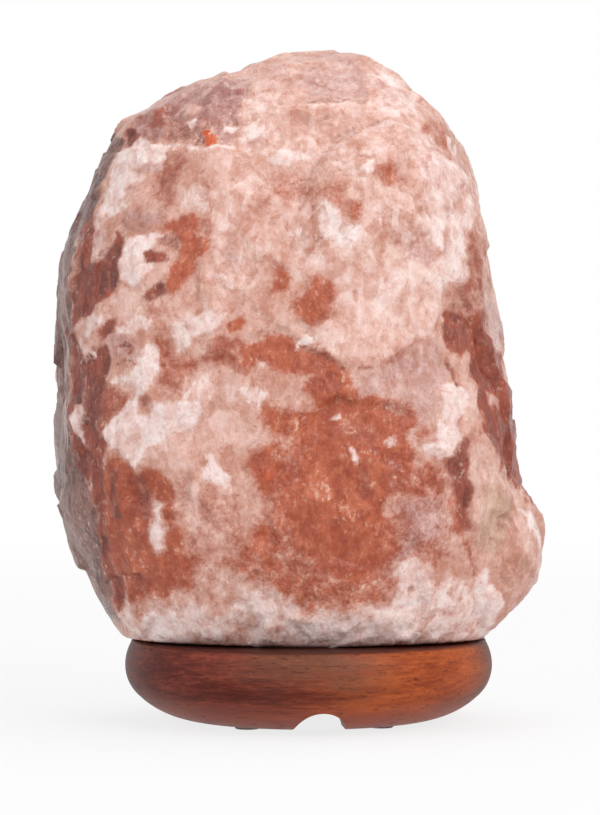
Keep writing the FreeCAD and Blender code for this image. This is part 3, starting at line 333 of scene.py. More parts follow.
    (1, {"brick": 0.45, "blush": 0.2}, [(34.5, 61), (42.5, 62.5), (43, 56.5), (39.5, 53), (35.5, 54.5)]),
    (0.8, {"blush": 0.4, "mauve": 0.55}, [(14.5, 117), (24.5, 119), (31.5, 122.5), (40.5, 125.5), (43, 121.5),
        (44.5, 113.5), (41.5, 106), (42, 93.5), (42.5, 86.5), (37.5, 87), (34, 91.5), (33.5, 99.5),
        (32, 106.5), (22, 107), (15, 105), (13, 111)]),
    (0.6, {"brick": 0.35, "mauve": 0.4}, [(22.5, 119), (31.5, 122), (32.5, 119), (25, 116)]),
    (0.6, {"brick": 0.4, "rust": 0.2}, [(34, 97), (38, 98), (39, 94), (34.5, 93.5)]),
    (0.5, {"blush": 0.85}, [(42.5, 113.5), (50, 112), (52, 106), (52, 98.5), (47.5, 93.5), (45.5, 90.5),
        (42.5, 86), (44.5, 94.5), (47.5, 102.5), (46.5, 108.5)]),
    (0.5, {"frost": 1.2}, [(42, 112), (44.5, 112.5), (47, 108.5), (47.5, 102.5), (46.5, 94.5), (44, 90.5),
        (42, 86.5), (37.5, 89.5), (35.5, 92), (40, 93.5), (41.5, 99.5)]),
    (0.5, {"rust": 0.65, "brick": 0.7}, [(41, 133), (47, 132.5), (50, 131.5), (50, 120.5), (47.5, 118.5),
        (45, 120.5), (42, 127)]),
    (0.5, {"rust": 0.62, "brick": 0.8}, [(50.5, 133), (56, 133), (59.5, 122), (60.5, 112), (56, 114.5),
        (52, 116.5), (50.5, 121.5)]),
    (0.5, {"rust": 0.62, "brick": 0.8}, [(50.5, 121.5), (56, 122), (60.5, 113.5), (64.5, 102.5), (67.5, 90.5),
        (72, 75), (68, 74), (59.5, 86.5), (55, 96.5), (52, 106)]),
    (0.5, {"mauve": 0.7, "blush": 0.3}, [(55.5, 138), (59.5, 135), (61, 123), (59, 120.5), (56, 127)]),
    (0.6, {"mauve": 0.5, "blush": 0.3}, [(55.5, 108.5), (59.5, 107), (60, 102.5), (56, 104)]),
    (0.5, {"rust": 0.7, "brick": 0.5}, [(42.5, 88), (48, 94.5), (50.5, 92), (49, 84), (51, 75), (50.5, 65.5),
        (47, 65), (45, 75), (43, 81)]),
    (0.6, {"blush": 0.6, "honey": 0.3}, [(50, 93.5), (55, 90.5), (62.5, 81), (67.5, 75.5), (72, 70),
        (72.5, 61.5), (69.5, 52), (64, 43), (59.5, 46), (58, 56), (53, 52.5), (49.5, 56), (51.5, 68.5),
        (49.5, 81)]),
    (0.9, {"honey": 1}, [(54.5, 78), (59.5, 78.5), (63, 71.5), (61, 62.5), (56, 58.5), (52, 59), (52, 65.5),
        (54.5, 71.5)]),
    (0.5, {"frost": 0.85}, [(65.5, 74), (69.5, 71.5), (72.5, 62.5), (71.5, 56.5), (69, 65.5)]),
    (0.6, {"honey": 0.5, "brick": 0.45}, [(59.5, 57.5), (67, 57.5), (69, 52.5), (64.5, 46), (60.5, 48.5)]),
    (0.4, {"brick": 0.5, "rust": 0.2}, [(42.5, 75), (44.5, 75.5), (50.5, 57.5), (53, 43.5), (52, 43), (49, 56)]),
    (0.5, {"blush": 0.7, "brick": 0.2}, [(50.5, 58.5), (55.5, 57.5), (55, 52), (51.5, 52)]),
    (1.2, {"frost": 0.55, "blush": 0.45}, [(-58.5, 42.5), (-49.5, 44.5), (-38, 42), (-24, 42.5), (-14.5, 50.5),
        (-9, 43.5), (0.5, 38.5), (13, 38.5), (25, 42.5), (28.5, 50), (34.5, 55.5), (47, 50.5), (52, 43.5),
        (57.5, 33), (40.5, 29), (22, 27.5), (9.5, 28), (-4.5, 27), (-34, 29), (-56, 31.5), (-59.5, 37.5)]),
    (0.6, {"brick": 0.3, "mauve": 0.3}, [(-54.5, 42.5), (-49.5, 43.5), (-49.5, 37), (-52.5, 36)]),
    (0.8, {"frost": 1}, [(-50.5, 39.5), (-40, 38), (-32.5, 33), (-40, 30.5), (-49.5, 31.5)]),
    (0.8, {"frost": 0.95}, [(28.5, 55.5), (33.5, 56), (37.5, 47), (36.5, 40.5), (29.5, 42), (28.5, 50)]),
    (0.7, {"frost": 0.95}, [(52, 50), (56, 53.5), (60, 44.5), (58, 37.5), (55, 32.5), (52.5, 37.5)]),
    (0.9, {"frost": 0.95}, [(-6, 32.5), (-0.5, 36), (9.5, 35), (28.5, 31.5), (22, 29), (0.5, 28)]),
    (0.5, {"frost": 0.8}, [(-19.5, 34), (-14, 34.5), (-14, 30.5), (-19, 30.5)]),
    (0.3, {"mauve": 0.7}, [(31.5, 47.5), (33, 48), (33.5, 45.5), (31.5, 45.5)]),
    (0.4, {"rust": 1}, [(-57, 189.5), (-53.5, 190.5), (-52, 186.5), (-54.5, 183.5), (-56.5, 184.5)]),
    (0.7, {"rust": 0.65}, [(-49.5, 195.5), (-44.5, 196.5), (-43, 192), (-46.5, 189.5), (-49.5, 190.5)]),
    (0.7, {"ash": 0.4, "rust": 0.4}, [(-43, 191.5), (-34, 193), (-28.5, 189.5), (-29, 184.5), (-34.5, 184),
        (-40, 185.5), (-44, 186.5)]),
    (0.2, {"ember": 1.3}, [(-32, 189.5), (-30, 190), (-29, 187.5), (-30, 184.5), (-32, 184.5)]),
    (0.25, {"frost": 1.1}, [(-39, 193), (-36.5, 193.5), (-36.5, 190.5)]),
    (0.3, {"frost": 1}, [(-26, 191), (-22.5, 192), (-23.5, 190), (-25.5, 189.5)]),
    (0.4, {"blush": 0.9}, [(-39.5, 196.5), (-37.5, 198.5), (-35.5, 196.5), (-37, 194.5), (-39.5, 194.5)]),
    # painted highlight: the small pale lens on this facet, laid in as frost
    (0.5, {"frost": 0.9}, [(-20, 191), (-14.5, 192), (-12.5, 189.5), (-18.5, 188)]),
    (0.3, {"mauve": 0.6}, [(-19, 187.5), (-14.5, 188.5), (-13.5, 187), (-18.5, 186.5)]),
    (0.5, {"frost": 0.9}, [(-14.5, 180.5), (-8, 183), (-3, 183), (1, 181.5), (-4, 180), (-10, 178)]),
    (0.25, {"rust": 0.5, "mauve": 0.4}, [(-1, 199.5), (9.5, 199.5), (17.5, 200.5), (17.5, 199), (9.5, 198),
        (-1, 198)]),
    (0.6, {"brick": 0.7, "honey": 0.3}, [(21, 176), (24.5, 178), (28, 175), (24.5, 172.5), (22, 173.5)]),
    (0.3, {"frost": 1.1}, [(17.5, 176.5), (19.5, 179), (22, 180), (20.5, 175.5)]),
    (0.3, {"frost": 0.75}, [(14.5, 184.5), (19.5, 184.5), (22.5, 183), (22, 181.5), (17.5, 183), (14.5, 184)]),
    (0.25, {"rust": 0.4, "brick": 0.4}, [(14.5, 183), (22, 180.5), (22, 180), (14.5, 182)]),
    (0.6, {"brick": 0.65}, [(11, 168), (14.5, 168.5), (15, 163), (12, 161)]),
    (0.8, {"frost": 1}, [(42.5, 155.5), (47.5, 157), (49.5, 150.5), (47.5, 144), (43, 145.5)]),
    (0.7, {"mauve": 0.6, "rust": 0.25}, [(29.5, 154.5), (37, 154.5), (40, 150.5), (35.5, 147.5), (31, 150)]),
    (0.25, {"rust": 0.45, "mauve": 0.4}, [(26.5, 155.5), (35.5, 156), (35.5, 154.5), (26.5, 154.5)]),
    (0.8, {"mauve": 0.3, "frost": 0.4}, [(24, 165), (34.5, 163.5), (35.5, 156), (25, 156), (18.5, 157.5)]),
    (0.7, {"frost": 0.9}, [(3, 164), (6.5, 166), (11, 163.5), (16, 160), (15, 155), (11.5, 152.5), (9, 156),
        (4, 158.5)]),
    (0.8, {"frost": 0.55}, [(-6, 158.5), (0.5, 157), (0.5, 152.5), (-6.5, 152)]),
    (0.4, {"rust": 0.6}, [(2, 157.5), (6, 157.5), (5.5, 153.5), (2, 154.5)]),
    (0.9, {"brick": 0.75}, [(-12, 148.5), (-6, 144.5), (-7, 139.5), (-12.5, 139.5)]),
    (1.4, {"brick": 0.85}, [(-4, 137), (3, 144.5), (8, 141), (8, 133), (1, 129), (-3.5, 132)]),
    (0.3, {"rust": 0.5, "mauve": 0.2}, [(1, 166.5), (2, 166.5), (2.5, 152.5), (1, 152.5)]),
    (0.5, {"frost": 0.85}, [(-21.5, 109.5), (-16, 109.5), (-12, 107), (-15, 104), (-21, 106)]),
    (0.7, {"frost": 0.5, "blush": 0.4}, [(-29, 111), (-22.5, 110), (-24, 105), (-28.5, 106)]),
    (0.3, {"frost": 0.95}, [(-3.5, 123.5), (1, 124.5), (-0.5, 121), (-3.5, 121)]),
    (0.25, {"frost": 0.9}, [(-16, 118), (-12.5, 117.5), (-13, 116), (-15, 116)]),
    (0.5, {"blush": 0.9}, [(-21.5, 96), (-17, 96.5), (-17.5, 92), (-21, 90.5)]),
    (0.4, {"brick": 1}, [(-24, 130), (-21.5, 132), (-19.5, 130), (-21, 127.5), (-23.5, 127.5)]),
    (0.5, {"brick": 1, "rust": 0.2}, [(-20, 122.5), (-16.5, 124), (-14.5, 121.5), (-16.5, 118), (-19.5, 119)]),
    # painted shadow: the thin dark line just under the lip of the raised tongue, laid in as rust
    (0.3, {"rust": 0.5, "brick": 0.4}, [(-3, 122.5), (5.5, 120), (11, 116.5), (21, 116), (21, 115), (11, 115),
        (4, 118.5), (-3, 121)]),
    (0.25, {"rust": 0.55, "mauve": 0.3}, [(42, 120.5), (44, 119), (45.5, 113.5), (47, 110), (45.5, 109.5),
        (44, 113.5)]),
    (0.3, {"brick": 0.4, "ash": 0.3}, [(40.5, 190.5), (43, 186.5), (46.5, 180.5), (44.5, 181), (41.5, 186)]),
    (0.2, {"frost": 0.9}, [(41.5, 188.5), (42.5, 188.5), (45.5, 183), (44.5, 183)]),
    (0.2, {"rust": 0.8}, [(-61, 123.5), (-55.5, 124), (-55, 123), (-61, 123)]),
    (0.2, {"rust": 0.8}, [(-61, 122), (-55.5, 122.5), (-55, 121.5), (-61, 121.5)]),
    (0.2, {"rust": 0.8}, [(-61, 120.5), (-55.5, 120.5), (-55, 120), (-61, 120)]),
    (0.2, {"rust": 0.8}, [(-61, 119), (-55.5, 119), (-55, 118.5), (-61, 118.5)]),
    (0.2, {"rust": 0.8}, [(-61, 117.5), (-55.5, 117.5), (-55, 117), (-61, 116.5)]),
]

rock = {
    "voxel": 1.12 * mm,
    "facetCount": 420,
    "facetTilt": 0.075,
    "facetBlend": 1.2 * mm,
    "chipCount": 3400,
    "chipTilt": 0.1,
    "chipBlend": 0.5 * mm,
    "swell": 0.7 * mm,
    "swellSize": 24 * mm,
    "pebble": 0.28 * mm,
    "pebbleSize": 4 * mm,
    "stain": 0.35 * mm,
    "gap": 0.7 * mm,
    "gapSize": 7 * mm,
    "tuck": 8 * mm,
    "bend": 2.2,  # how far the marks' edges wander, in millimetres
    "bendSize": 9 * mm,
    "softness": 2.8,  # edges of marks, as a share of what the marks say
    "turned": (-0.4, -0.2),  # the marks fade out over faces that turn away from the camera
    "wildSize": 22 * mm,
    "boreRadius": 24 * mm,  # inside this and below boreTop the crystal stays as it is
    "boreTop": 132 * mm,
    "footRise": 4 * mm,  # above the flat foot the relief grows over this height
    "sink": 0.4 * mm,
    "lowest": -2.8 * mm,
    "highest": 1.1 * mm,
    "rim": (38 * mm, 50 * mm),  # the foot is tucked in from one radius to the other
    "seed": 7,
}

# The sides that the photograph doesn't show: the middle value and the spread of each mineral there.
wildMinerals = {
    "frost": (0.32, 0.75),
    "blush": (0.35, 0.6),
    "brick": (0.28, 0.7),
    "rust": (0.12, 0.7),
    "mauve": (0.15, 0.6),
    "ash": (0.02, 0.5),
    "honey": (-0.05, 0.5),
    "ember": (-0.5, 0.6),
}

# Edges where one layer of the salt stands out over the next: the line on the front (across, up), how
# far it stands out on its left hand side, and how far in it fades.
rockLedges = [
    {"line": [(-6, 127), (2, 121), (10, 117), (22, 117), (30, 122), (37, 126), (41, 133), (41.5, 142)],
     "height": 1.9 * mm, "fade": 14 * mm},
    {"line": [(-26, 184), (-40, 184), (-49, 185), (-59, 183)], "height": 1.3 * mm, "fade": 9 * mm},
    {"line": [(-62, 93), (-58, 90), (-54, 84), (-48, 90), (-40, 94), (-33, 102)],
     "height": 1.2 * mm, "fade": 7 * mm},
    {"line": [(36, 92), (43, 86), (50, 97), (49, 112)], "height": 1.2 * mm, "fade": 6 * mm},
    {"line": [(51, 66), (50, 82), (43, 88)], "height": -1.6 * mm, "fade": 6 * mm},
    {"line": [(68, 76), (54, 96), (51, 118)], "height": 1.4 * mm, "fade": 7 * mm},
    {"line": [(-54, 42), (-60, 66), (-69, 92), (-73, 120)], "height": -1.3 * mm, "fade": 7 * mm},
]


def frontPlace(places):  # where points show on the plane of the crystal's front, in millimetres
    eye = camera["place"]
    spread = (frontFace - eye[1]) / (places[:, 1] - eye[1])
    across = eye[0] + (places[:, 0] - eye[0]) * spread
    up = eye[2] + (places[:, 2] - eye[2]) * spread
    return np.stack([across, up], axis=1) / mm


def edgeGaps(corners, shown):  # distance to a chain of straight edges, and the side of the nearest
    best = np.full(len(shown), 1e9)
    side = np.ones(len(shown))
    for start, end in zip(corners, corners[1:]):
        along = np.subtract(end, start)
        offset = shown - start
        share = np.clip(offset @ along / (along @ along), 0, 1)
        gap = np.linalg.norm(offset - share[:, None] * along, axis=1)
        nearer = gap < best
        best[nearer] = gap[nearer]
        side[nearer] = np.sign(along[0] * offset[nearer, 1] - along[1] * offset[nearer, 0])
    return best, side


def patchCover(corners, soft, shown):
    inside = np.zeros(len(shown), bool)
    x, y = shown.T
    for (ax, ay), (bx, by) in zip(corners, corners[1:] + corners[:1]):
        crossing = (ay > y) != (by > y)
        inside ^= crossing & (x < ax + (bx - ax) * (y - ay) / ((by - ay) or 1e-9))
    gap = edgeGaps(corners + corners[:1], shown)[0]
    return smooth(-soft, soft, np.where(inside, gap, -gap))


def noiseField(places, size, shift, octaves=3):
    offset = Vector((shift, -shift, 2 * shift))
    return np.array([noise.fractal(Vector(p) / size + offset, 1.0, 2.0, octaves) for p in places])


def tiltedCells(places, count, tilt, blendWidth, rng):  # small flat faces round random seeds
    picks = rng.choice(len(places), count, replace=False)
    tree = KDTree(count)
    for number, spot in enumerate(picks):
        tree.insert(places[spot], number)
    tree.balance()
    slopes = rng.normal(0, tilt, (count, 3))
    lifts = np.zeros(len(places))
    for number, place in enumerate(places):
        (spotA, a, gapA), (spotB, b, gapB) = tree.find_n(place, 2)
        share = min(0.5, max(0.0, 0.5 - 0.5 * (gapB - gapA) / blendWidth))
        first = slopes[a] @ (place - np.array(spotA))
        second = slopes[b] @ (place - np.array(spotB))
        lifts[number] = first * (1 - share) + second * share
    return lifts


def mineralFields(places, normals):
    view = places - np.array(camera["place"])
    view /= np.linalg.norm(view, axis=1)[:, None]
    facing = smooth(*rock["turned"], -(view * normals).sum(axis=1))
    bend = np.stack([noiseField(places, rock["bendSize"], s, 4) for s in (11.3, 27.9)], axis=1)
    shown = frontPlace(places) + rock["bend"] * bend
    front = np.flatnonzero(facing > 0)
    fields = {name: np.zeros(len(places)) for name in wildMinerals}
    for soft, minerals, corners in rockPatches:
        corners = [tuple(corner) for corner in corners]
        low, high = np.min(corners, axis=0) - 3 * soft, np.max(corners, axis=0) + 3 * soft
        near = front[((shown[front] > low) & (shown[front] < high)).all(axis=1)]
        cover = patchCover(corners, rock["softness"] * soft, shown[near])
        for name, field in fields.items():
            field[near] = field[near] * (1 - cover) + minerals.get(name, 0) * cover
    for number, (name, (middle, spread)) in enumerate(wildMinerals.items()):
        wild = middle + spread * 1.6 * noiseField(places, rock["wildSize"], 3.1 + 5.7 * number, 4)
        fields[name] = fields[name] * facing + np.clip(wild, 0, 1.2) * (1 - facing)
    return fields, facing


def makeRock():
    mesh = nodes["salt_crystal"].data.copy()
    crystal = bpy.data.objects.new("rock_salt", mesh)
    bpy.context.scene.collection.objects.link(crystal)
    pick(crystal)
    bpy.ops.object.mode_set(mode="EDIT")
    bpy.ops.mesh.select_all(action="SELECT")
    bpy.ops.mesh.remove_doubles(threshold=0.00001)
    bpy.ops.object.mode_set(mode="OBJECT")
    mesh.remesh_voxel_size = rock["voxel"]
    bpy.ops.object.voxel_remesh()
    mesh = crystal.data
    count = len(mesh.vertices)
    places = np.empty(count * 3)
    normals = np.empty(count * 3)
    mesh.vertices.foreach_get("co", places)
    mesh.vertex_normals.foreach_get("vector", normals)
    places, normals = places.reshape(-1, 3), normals.reshape(-1, 3)

    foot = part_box("salt_crystal")[0].z
    radius = np.hypot(places[:, 0], places[:, 1])
    inside = (radius < rock["boreRadius"]) & (places[:, 2] < rock["boreTop"])
    skin = np.where(inside, 0.0, smooth(foot, foot + rock["footRise"], places[:, 2]))
    fields, facing = mineralFields(places, normals)
    rng = np.random.default_rng(rock["seed"])

    roughness = 0.35 + 0.65 * np.clip(fields["frost"] + 0.7 * fields["rust"], 0, 1)
    lift = rock["swell"] * noiseField(places, rock["swellSize"], 1.7)
    lift += tiltedCells(places, rock["facetCount"], rock["facetTilt"], rock["facetBlend"], rng)
    chips = tiltedCells(places, rock["chipCount"], rock["chipTilt"], rock["chipBlend"], rng)
    lift += chips * roughness
    lift += rock["pebble"] * noiseField(places, rock["pebbleSize"], 8.3) * roughness
    lift += rock["stain"] * (fields["frost"] - 0.8 * fields["rust"] - 0.3 * fields["mauve"])
    shown = frontPlace(places)
    for ledge in rockLedges:
        gap, side = edgeGaps(ledge["line"], shown)
        gap = gap * side * mm
        rise = smooth(-0.6 * mm, 0.8 * mm, gap) * np.exp(-np.clip(gap, 0, None) / ledge["fade"])
        lift += ledge["height"] * rise * facing

    lift = np.clip(lift - rock["sink"], rock["lowest"], rock["highest"])
    places += normals * (lift * skin)[:, None]
    flat = (places[:, 2] < foot + 0.9 * mm) & (normals[:, 2] < -0.7)
    places[flat, 2] = foot
    places[:, 2] = np.maximum(places[:, 2], foot)
    # the crystal's rough edge stands clear of the wood
    edge = rock["gap"] * (1 + 0.45 * noiseField(places, rock["gapSize"], 4.4))
    tuck = rock["tuck"] * (1 - smooth(0.35, 1.15, (places[:, 2] - foot) / edge))
    outer = smooth(*rock["rim"], radius) * ~inside
    places[:, :2] *= (1 - tuck * outer / np.maximum(radius, mm))[:, None]
    mesh.vertices.foreach_set("co", places.ravel())
    for name, field in fields.items():
        layer = mesh.attributes.new(name, "FLOAT", "POINT")
        layer.data.foreach_set("value", np.clip(field, 0, 1.6).astype(np.float32))
    mesh.update()
    pick(crystal)
    bpy.ops.object.shade_smooth()
    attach(crystal, "lamp")
    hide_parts("salt_crystal")
    return crystal


def saltFinish():
    p = Paint("rock_salt")
    spots = p.places()
    loose = p.warped(spots, 9 * mm, 5 * mm)
    split = p.moved(p.warped(spots, 5 * mm, 2.4 * mm), rotation=(24, 37, 12), scale=(1, 1, 0.6))
    cloud = p.ripple(loose, 15 * mm, 5.0, 0.62)
    curd = p.ripple(loose, 4.2 * mm, 4.0, 0.7)
    crumb = p.ripple(spots, 1.3 * mm, 3.0, 0.7)
    upright = p.moved(loose, rotation=(0, 12, 0), scale=(1, 1, 0.2))
    streak = p.ripple(upright, 2.4 * mm, 3.0, 0.6)
    shard = p.cells(split, 4.5 * mm, "Color") - 0.5
    chip = p.cells(split, 1.7 * mm, "Color") - 0.5

    def cover(name, low, high, large, middle, small):  # where a mineral shows, broken up by the noises
        broken = p.attribute(name) + cloud * large + curd * middle + crumb * small
        return (broken + shard * 0.24 + chip * 0.17).step(low, high)

    def over(body, share, light, dark, lay=curd):  # one mineral laid over the rest
        level = lay * 0.35 - crumb * 0.25 + cloud * 0.25 + shard * 0.42 + chip * 0.34 + 0.5
        return p.blend(share, body, p.blend(level.step(0, 1), dark, light))

    body = over(tint(214, 165, 150), 1.0, tint(222, 178, 165), tint(190, 128, 106))
    # each mineral: where its cover starts and is full, how the noises break it, light and dark colour
    layers = {
        "brick": ((0.08, 0.72, -0.12, -0.16, 0.16), (196, 106, 72), (152, 62, 34), curd),
        "blush": ((0.15, 0.9, 0.2, 0.12, 0.1), (235, 199, 189), (214, 161, 144), curd),
        "honey": ((0.15, 0.9, 0.1, -0.16, 0.1), (216, 180, 160), (184, 138, 116), curd),
        "mauve": ((0.15, 0.9, -0.1, 0.2, -0.14), (214, 174, 167), (162, 112, 104), curd),
        # the grey layer also stands in as painted shade down the crystal's left edge
        "ash": ((0.2, 0.75, 0, -0.14, -0.12), (150, 112, 104), (88, 50, 44), streak),
        "rust": ((0.15, 0.8, 0.06, -0.2, -0.2), (160, 76, 54), (98, 36, 26), streak),
        "ember": ((0.2, 0.75, 0, 0.1, 0.1), (212, 96, 48), (178, 54, 18), curd),
    }
    for name, (shares, light, dark, lay) in layers.items():
        body = over(body, cover(name, *shares), tint(*light), tint(*dark), lay)
    frost = cover("frost", 0.15, 0.9, 0.1, 0.24, 0.22)
    body = over(body, frost * 0.97, tint(247, 230, 226), tint(224, 184, 175))

    glints = p.cells(p.moved(split, location=(0.2, 0.3, 0.1)), 0.9 * mm, "Color").step(0.66, 0.76)
    glints = glints * (curd * 0.3 + cloud * 0.3 + crumb * 0.3).step(-0.1, 0.6)
    body = p.blend(glints * 0.6, body, tint(250, 218, 196))
    specks = p.cells(p.moved(split, location=(0.5, 0.1, 0.4)), 1.1 * mm, "Color").step(0.36, 0.26)
    body = p.blend(specks * (crumb * 0.5 - curd * 0.4).step(0, 0.8) * 0.5, body, tint(130, 66, 50))

    facets = p.cells(split, 3.4 * mm, distance="CHEBYCHEV") + p.cells(split, 1.2 * mm, distance="CHEBYCHEV") * 0.4
    height = crumb * 0.1 + curd * 0.15 + facets
    bumps = p.bump(height, 0.6 * mm, 0.8)
    roughness = 0.36 + crumb * 0.1 + frost * 0.14 + shard * 0.3
    return p.finish(
        Base_Color=body,
        Roughness=roughness,
        Normal=bumps,
        Subsurface_Weight=0.15,
        Subsurface_Radius=(1.0, 0.45, 0.3),
        Subsurface_Scale=2 * mm,
        Specular_IOR_Level=0.45,
    )


rockSalt = makeRock()
dress(rockSalt, saltFinish())
print("salt crystal:", len(rockSalt.data.polygons), "faces")


def woodFinish():
    p = Paint("turned_wood")
    spots = p.places()
    bent = p.warped(p.moved(spots, scale=(0.09, 0.25, 1)), 14 * mm, 3 * mm)
    streak = p.ripple(bent, 1.2 * mm, 6.0, 0.78) * 1.15
    band = p.ripple(bent, 6 * mm, 4.0, 0.6)
    drift = p.moved(spots, location=(0.31, 0.1, 0.2), scale=(0.7, 1, 1.6))
    cloud = p.ripple(drift, 18 * mm, 4.0, 0.55)
    fleck = p.ripple(p.moved(spots, scale=(0.3, 0.4, 1)), 0.7 * mm, 3.0, 0.6)
    side = p.add("SeparateXYZ", None, {0: spots}, "X")
    up = p.add("SeparateXYZ", None, {0: spots}, "Z")
    # the wood's tone varies with noise, and across it the left side is painted darker and the right side lighter:
    # painted shade and light
    figureAndSideShade = (side / (60 * mm) + cloud * 0.22 + band * 0.15 + 0.1).step(-0.2, 0.55)
    dull = p.blend((band * 0.5 + streak * 0.5 + 0.45).step(0, 1), tint(84, 28, 20), tint(146, 68, 50))
    warm = p.blend((band * 0.4 + streak * 0.4 + 0.5).step(0, 1), tint(134, 54, 24), tint(196, 98, 48))
    color = p.blend(figureAndSideShade, dull, warm)
    centre = (1 - (side / (26 * mm)).away()).step(-0.3, 0.7) * (cloud * 0.4 + band * 0.3 + 0.5).step(0.2, 0.8)
    centre = centre * up.step(8 * mm, 16 * mm)
    color = p.blend(centre * 0.7, color, tint(92, 66, 54))
    color = p.blend((fleck * 0.6 + streak * 0.4).step(0.1, 0.8) * 0.7, color, tint(52, 20, 13))
    color = p.blend((fleck * -0.5 + band * 0.2).step(0.2, 0.6) * 0.2, color, tint(206, 126, 84))
    # painted shade: the wood is darkened where its surface turns away from the view, towards the edges of its
    # outline
    rim = p.add("LayerWeight", None, {"Blend": 0.5}, "Facing").step(0.4, 0.95)
    color = p.blend(rim * 0.72, color, tint(52, 25, 22))
    # painted shade: the top of the wood, just under the crystal, is darkened as the shadow in the gap there
    color = p.blend(up.step(26.2 * mm, 27.4 * mm) * 0.8, color, tint(66, 22, 12))
    # painted light: the wood is lightened towards its bottom, standing in for light thrown up by the floor
    color = p.blend(up.step(13 * mm, 2 * mm) * 0.65, color, tint(188, 96, 70))
    pores = p.noise(p.moved(spots, scale=(0.1, 0.25, 1)), 0.6 * mm, 2.0, 0.6).step(0.6, 0.7)
    color = p.blend(pores * 0.5, color, tint(40, 16, 12))
    return p.finish(
        Base_Color=color,
        Roughness=0.48 + streak * 0.06 + pores * 0.15,
        Normal=p.bump(streak * 0.12 - pores * 0.6, 0.25 * mm, 0.5),
        Specular_IOR_Level=0.16,
        Coat_Weight=0.03,
        Coat_Roughness=0.25,
    )


dress(nodes["wooden_base"], woodFinish())


def metalFinish(name, color, dark, roughness, lay=(1, 1, 1)):
    p = Paint(name)
    spots = p.places()
    brushed = p.noise(p.moved(spots, scale=lay), 0.5 * mm, 3.0, 0.6)
    stain = p.noise(spots, 5 * mm, 3.0)
    tone = p.blend(stain.step(0.42, 0.72) * 0.6, color, dark)
    return p.finish(
        Base_Color=tone,
        Metallic=1.0,
        Roughness=roughness + (brushed - 0.5) * 0.18 + (stain - 0.5) * 0.12,
        Normal=p.bump(brushed, 0.04 * mm, 0.4),
    )


def mouldedFinish(name, color, shade, roughness, grainSize, grainDepth):
    p = Paint(name)
    spots = p.places()
    skinGrain = p.noise(spots, grainSize, 2.0, 0.6)
    drift = p.noise(spots, 9 * mm, 2.0)
    tone = p.blend(drift.step(0.35, 0.7), color, shade)
    return p.finish(
        Base_Color=tone,
        Roughness=roughness + (skinGrain - 0.5) * 0.15,
        Normal=p.bump(skinGrain, grainDepth, 0.5),
    )


def glassFinish(name, alpha):
    p = Paint(name)
    spots = p.places()
    smear = p.noise(spots, 7 * mm, 3.0)
    return p.finish(
        Base_Color=(0.93, 0.95, 0.95, 1),
        Roughness=0.04 + smear.step(0.5, 0.8) * 0.1,
        Alpha=alpha + smear * 0.06,
        Specular_IOR_Level=0.6,
    )


finishes = {
    ("base_screws",): metalFinish("zinc_screws", tint(190, 184, 160), tint(140, 130, 100), 0.34),
    ("holder_plate",): metalFinish("bright_plate", tint(205, 206, 208), tint(168, 168, 170), 0.2),
    ("spring_clip_1", "spring_clip_2", "spring_clip_3"): metalFinish(
        "spring_steel", tint(160, 162, 166), tint(112, 114, 122), 0.3, (1, 1, 0.15)
    ),
    ("clip_rivets", "threaded_nipple", "lock_nut", "lock_washer", "terminal_screws"): metalFinish(
        "plated_fittings", tint(196, 188, 168), tint(150, 140, 112), 0.3
    ),
    ("screw_shell", "centre_contact", "shell_contact"): metalFinish(
        "contact_brass", tint(206, 168, 92), tint(150, 110, 50), 0.28
    ),
    ("bulb_cap",): metalFinish("cap_metal", tint(196, 196, 194), tint(150, 150, 150), 0.3),
    ("bulb_contact",): metalFinish("solder", tint(170, 170, 172), tint(120, 120, 124), 0.45),
    ("lead_wires", "filament"): metalFinish("bulb_wire", tint(150, 150, 154), tint(100, 100, 104), 0.35),
    ("foot_pad_1", "foot_pad_2", "foot_pad_3", "foot_pad_4"): mouldedFinish(
        "soft_feet", tint(214, 212, 208), tint(200, 198, 194), 0.6, 0.5 * mm, 0.1 * mm
    ),
    ("screw_plugs",): mouldedFinish(
        "plug_plastic", tint(176, 176, 172), tint(160, 160, 154), 0.5, 0.4 * mm, 0.05 * mm
    ),
    ("cord_bushing",): mouldedFinish(
        "bushing_plastic", tint(30, 30, 31), tint(42, 42, 42), 0.5, 0.3 * mm, 0.05 * mm
    ),
    ("socket_cap", "socket_sleeve"): mouldedFinish(
        "socket_plastic", tint(232, 229, 220), tint(222, 218, 206), 0.38, 0.4 * mm, 0.04 * mm
    ),
    ("socket_core",): mouldedFinish(
        "socket_ceramic", tint(234, 230, 222), tint(218, 212, 200), 0.25, 0.8 * mm, 0.06 * mm
    ),
    ("bulb_insulator",): mouldedFinish(
        "black_glass", tint(24, 24, 28), tint(38, 38, 44), 0.12, 0.8 * mm, 0.03 * mm
    ),
    ("bulb_glass",): glassFinish("clear_glass", 0.22),
    ("bulb_stem",): glassFinish("stem_glass", 0.4),
}
for names, material in finishes.items():
    for name in names:
        dress(nodes[name], material)
print("small parts dressed")


studio = {
    "floorSize": 12.0,
    "near": 0.25,
    "far": 1.1,
    "worldLevel": 0.46,
    "keyPower": 15.0,
    "fillPower": 6.0,
    "topPower": 8.0,
}


